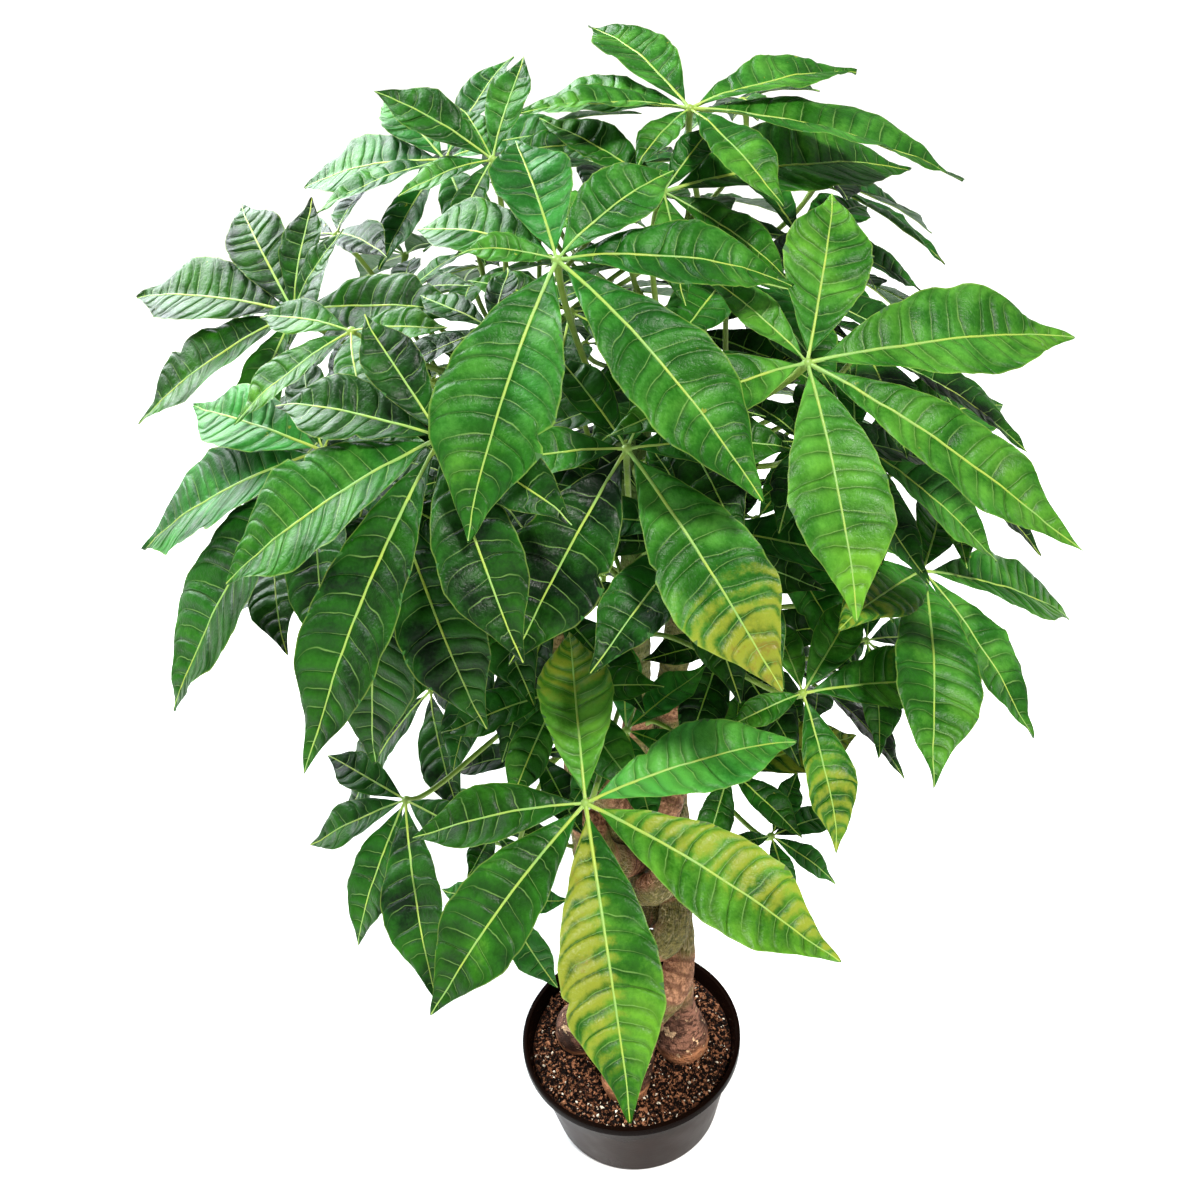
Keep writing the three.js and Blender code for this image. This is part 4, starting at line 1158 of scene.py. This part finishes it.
# Young leaves inside the crown, by a rule: each finds a free spot between the leaves built so far. The low
# and high groups fill the crown, and one more stands in each spot where the floor would show through.
youngLook = dict(
    low=dict(
        count=30, seed=5, middle=(0.01, -0.02, 0.83), reach=(0.27, 0.25, 0.27), lowest=0.5, lowestTip=0.58),
    high=dict(
        count=11, seed=6, middle=(0.03, 0.03, 0.96), reach=(0.26, 0.22, 0.13), lowest=0.5, lowestTip=0.58),
    atSpot=dict(count=1, seed=21, reach=(0.045, 0.045, 0.04), lowest=0.36, lowestTip=0.3),
    spots=((-0.15, 0.1, 1.03), (-0.15, -0.02, 0.62), (0.19, 0, 0.6), (0.18, 0.1, 1.08),
           (-0.13, -0.03, 0.5), (-0.25, -0.03, 0.75)),
    tries=4000, depth=(0.3, 1.0), hubSpace=0.07, openFront=(-0.08, 0.9),
    lowestWay=-0.3, outShare=0.6, upShare=0.8,
    length=(0.1, 0.155), widthShare=0.36, fan=(0, 60, -60, 120, -120, 180), swing=12, uneven=0.2,
    droop=(18, 38), start=-8, offFace=0.65, plumb=0.35, shorter=(1.0, 0.85, 0.7), fewest=4,
    shellFrom=0.15, shellRings=7, gap=0.004, stalkRings=14, stalkGap=0.0035,
    outward=0.72, upward=0.7, pull=0.33, drops=(0.06, 0.1, 0.15), underTip=0.02,
    # The young leaves sit inside the crown, and their dark tones are painted shade.
    tone=(0.0, 0.3), warmth=(0.2, 0.7),
)


# A tube of rings as a search tree, to see what it runs into
def shell(rings):
    grid = np.arange(rings.shape[0] * rings.shape[1]).reshape(rings.shape[:2])
    after = np.roll(grid, -1, axis=1)
    quads = np.stack([grid[:-1], after[:-1], after[1:], grid[1:]], axis=-1).reshape(-1, 4)
    return BVHTree.FromPolygons(rings.reshape(-1, 3).tolist(), quads.tolist())


def nodeShell(name):
    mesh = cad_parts[name].data
    return BVHTree.FromPolygons([v.co for v in mesh.vertices], [tuple(f.vertices) for f in mesh.polygons])


def isClear(made, others):
    return not any(made.overlap(other) for other in others)


# Round a leaflet's blade, with some air
def bladeShell(leaflet):
    gap = youngLook["gap"]
    t = np.linspace(youngLook["shellFrom"], 1, youngLook["shellRings"])
    middle, _, left, above = alongLeaflet(leaflet, t)
    half = (leaflet["width"] / 2 * outlineShare(t) + gap)[:, None]
    corners = ((1, 1), (0, 1), (-1, 1), (-1, -1), (0, -1), (1, -1))
    rings = [middle + left * half * side + above * (leafLook["fold"] * half * abs(side) + gap * up)
             for side, up in corners]
    return shell(np.stack(rings, axis=1))


# Round a petiole, short of the hub and the stem that it joins
def stalkShell(controls):
    line = curvePoints(controls, youngLook["stalkRings"])[1:-2]
    corners = ((1, 0, 0), (-0.5, 0.87, 0), (-0.5, -0.87, 0))
    return shell(np.stack([line + np.array(corner) * youngLook["stalkGap"] for corner in corners], axis=1))


# A young leaflet droops along an arc from the hub, as those of the CAD part do.
def youngLeaflet(leaf, azimuth, length, droop):
    look = youngLook
    down, aside = fanWays(leaf["face"])
    turn = math.radians(azimuth)
    out = down * math.cos(turn) + aside * math.sin(turn)
    fall = -leaf["face"] * look["offFace"] - plumb * look["plumb"]
    fall = unit(fall - out * np.dot(fall, out))
    first = math.radians(look["start"])
    curl = math.radians(droop)
    now = (first + curl * stations)[:, None]
    line = leaf["hub"] + length / curl * (
        out * (np.sin(now) - math.sin(first)) + fall * (math.cos(first) - np.cos(now)))
    return dict(
        bend=np.polyfit(stations, line, 4), lefts=np.tile(np.cross(out, fall), (3, 1)),
        width=length * look["widthShare"], length=length, azimuth=azimuth,
    )


# The petiole to the nearest stem that it reaches without crossing a leaf or another stem
def youngPetiole(leaf, lowest, leafShells, stemShells):
    look = youngLook
    top = leaf["hub"] - leaf["face"] * leafLook["hubDrop"]
    routes = []
    for number, (centres, radii) in enumerate(stemLines):
        for drop in look["drops"]:
            height = min(leaf["hub"][2] - drop, centres[-1][2] - look["underTip"])
            i = int(np.argmin(abs(centres[:, 2] - height)))
            outward = unit((leaf["hub"] - centres[i]) * (1, 1, 0))
            start = centres[i] + outward * radii[i]
            if height > lowest:
                routes.append((np.linalg.norm(start - top), number, start, outward))
    for distance, number, start, outward in sorted(routes, key=lambda route: route[0]):
        pull = look["pull"] * distance
        leave = start + (outward * look["outward"] + plumb * look["upward"]) * pull
        controls = np.array([top, leaf["hub"] - leaf["face"] * pull, leave, start])
        strangers = stemShells[:number] + stemShells[number + 1:]
        if isClear(stalkShell(controls), leafShells + strangers):
            return controls
    return None


# The leaflets that find room round a hub, each as long as fits, and the shells of what was grown
def growFan(leaf, group, length, droop, swing, others):
    look = youngLook
    leaflets = []
    shells = [stalkShell(leaf["petiole"])]
    for azimuth in look["fan"]:
        own = length * (1 - look["uneven"] + look["uneven"] * math.cos(math.radians(azimuth)))
        for share in look["shorter"]:
            leaflet = youngLeaflet(leaf, azimuth + swing, own * share, droop)
            made = bladeShell(leaflet)
            high = np.polyval(leaflet["bend"], 1)[2] > group["lowestTip"]
            if high and isClear(made, others):
                leaflets.append(leaflet)
                shells.append(made)
                break
    return leaflets, shells


# The young leaves of one group. What it adds to the hubs and shells holds for the next group.
def placeGroup(group, random, hubs, leafShells, stemShells):
    look = youngLook
    leaves = []
    for _ in range(look["tries"]):
        way = unit(random.normal(size=3))
        hub = np.array(group["middle"]) + np.array(group["reach"]) * way * random.uniform(*look["depth"])
        length = random.uniform(*look["length"])
        droop = random.uniform(*look["droop"])
        swing = random.uniform(-1, 1) * look["swing"]
        nearest = np.linalg.norm(np.array(hubs) - hub, axis=1).min()
        if len(leaves) == group["count"] or nearest < look["hubSpace"]:
            continue
        # The trunk and the lowest big leaf stay in view from the front
        if hub[1] < look["openFront"][0] and hub[2] < look["openFront"][1]:
            continue
        way[2] = max(way[2], look["lowestWay"])
        face = unit(way * look["outShare"] + plumb * look["upShare"])
        leaf = dict(name="", hub=hub, face=face, detail=leafLook["inner"])
        leaf["petiole"] = youngPetiole(leaf, group["lowest"], leafShells, stemShells)
        if leaf["petiole"] is None:
            continue
        leaf["leaflets"], shells = growFan(leaf, group, length, droop, swing, leafShells + stemShells)
        if len(leaf["leaflets"]) >= look["fewest"]:
            leaves.append(leaf)
            hubs.append(hub)
            leafShells += shells
    return leaves


def buildYoungLeaves(crown):
    look = youngLook
    one = look["atSpot"]
    singles = [{**one, "middle": spot, "seed": one["seed"] + i} for i, spot in enumerate(look["spots"])]
    hubs = [leaf["hub"] for leaf in crown]
    leafShells = [nodeShell(name) for name in leafNames]
    stemShells = [nodeShell(name) for name in stemNames]
    count = 0
    for group in (look["low"], look["high"], *singles):
        random = np.random.default_rng(group["seed"])
        for leaf in placeGroup(group, random, hubs, leafShells, stemShells):
            # Dark tones for the young leaves inside the crown: painted shade.
            leaf["tone"] = random.uniform(*look["tone"])
            leaf["warmth"] = random.uniform(*look["warmth"])
            count += 1
            buildLeaf(leaf, random, f"inner_leaf_{count:02d}")
    return count


veinMasks = veinGroup()
leafUpper = upperMaterial()
leafUnder = underMaterial()
ribAndPetiole = stalkMaterial()
stalks = stalkTree()
crown = buildCrown()
print("leaves made:", len(crown))
print("young leaves made:", buildYoungLeaves(crown))


# Studio: a pale floor, soft light and the photograph's view
studio = dict(
    floorSize=80.0, floorColour=(0.95, 0.95, 0.95), floorShade=(0.85, 0.85, 0.85), shadeShare=0.06,
    sky=(1.0, 0.995, 0.99), skyStrength=0.3,
    sunFrom=(0.6, -0.75, 1.6), sunStrength=3.9, sunSpread=10.0, sunColour=(1.0, 0.985, 0.94),
    viewFrom=(0.008, -0.905, 1.305), pitch=32.8, roll=-5.0, focal=36.0, sensor=36.0, farthest=200,
)
softLights = {
    "sheen": dict(place=(-1.5, 1.3, 2.4), target=(-0.1, 0, 1), size=2.2, power=170, colour=(0.92, 0.97, 1)),
    "window": dict(place=(-1.3, 2.8, 1.5), target=(-0.05, 0, 1), size=2.0, power=45, colour=(0.85, 0.94, 1)),
    "fill": dict(place=(-1.2, -2.2, 1.5), target=(0, 0, 0.5), size=1.8, power=9, colour=(1, 1, 1)),
}


def addLamp(name, kind, power, colour, aim, place=(0, 0, 0)):
    lamp = bpy.data.lights.new(name, kind)
    lamp.energy = power
    lamp.color = colour
    holder = addObject(name, lamp)
    holder.location = place
    holder.rotation_euler = aim.to_track_quat("-Z", "Y").to_euler()
    return lamp


def buildStudio():
    half = studio["floorSize"] / 2
    corners = [(-half, -half, 0), (half, -half, 0), (half, half, 0), (-half, half, 0)]
    material, tree = newMaterial("paleFloor", {"Roughness": 0.8})
    shade = noiseAt(objectPlace(tree), 1.5, 2.0)
    dress(material, overlay(studio["floorColour"], shade, studio["shadeShare"], studio["floorShade"]))
    newPiece("floor", corners, [(0, 1, 2, 3)], materials=[material])
    scene = bpy.context.scene
    scene.world = bpy.data.worlds.new("paleSky")
    scene.world.use_nodes = True
    tree = scene.world.node_tree
    sky = tree.nodes["Background"].inputs
    sky["Color"].default_value = (*studio["sky"], 1)
    # The sky lights the plant softly, and is plain white where the camera sees it.
    seen = addNode(tree, "ShaderNodeLightPath").outputs["Is Camera Ray"]
    feed(sky["Strength"], scaleAdd(seen, 1 - studio["skyStrength"], studio["skyStrength"]))
    sun = addLamp("sun", "SUN", studio["sunStrength"], studio["sunColour"], -Vector(studio["sunFrom"]))
    sun.angle = math.radians(studio["sunSpread"])
    for name, look in softLights.items():
        aim = Vector(look["target"]) - Vector(look["place"])
        lamp = addLamp(name, "AREA", look["power"], look["colour"], aim, look["place"])
        lamp.shape = "DISK"
        lamp.size = look["size"]
    eye = bpy.data.cameras.new("photoView")
    eye.lens = studio["focal"]
    eye.sensor_width = studio["sensor"]
    eye.clip_end = studio["farthest"]
    camera = addObject("photoView", eye)
    turn = Matrix.Rotation(math.radians(90 - studio["pitch"]), 4, "X")
    roll = Matrix.Rotation(math.radians(studio["roll"]), 4, "Z")
    camera.matrix_world = Matrix.Translation(studio["viewFrom"]) @ turn @ roll
    scene.camera = camera
    scene.view_settings.view_transform = "Standard"
    scene.view_settings.look = "None"


buildStudio()
print("studio made")
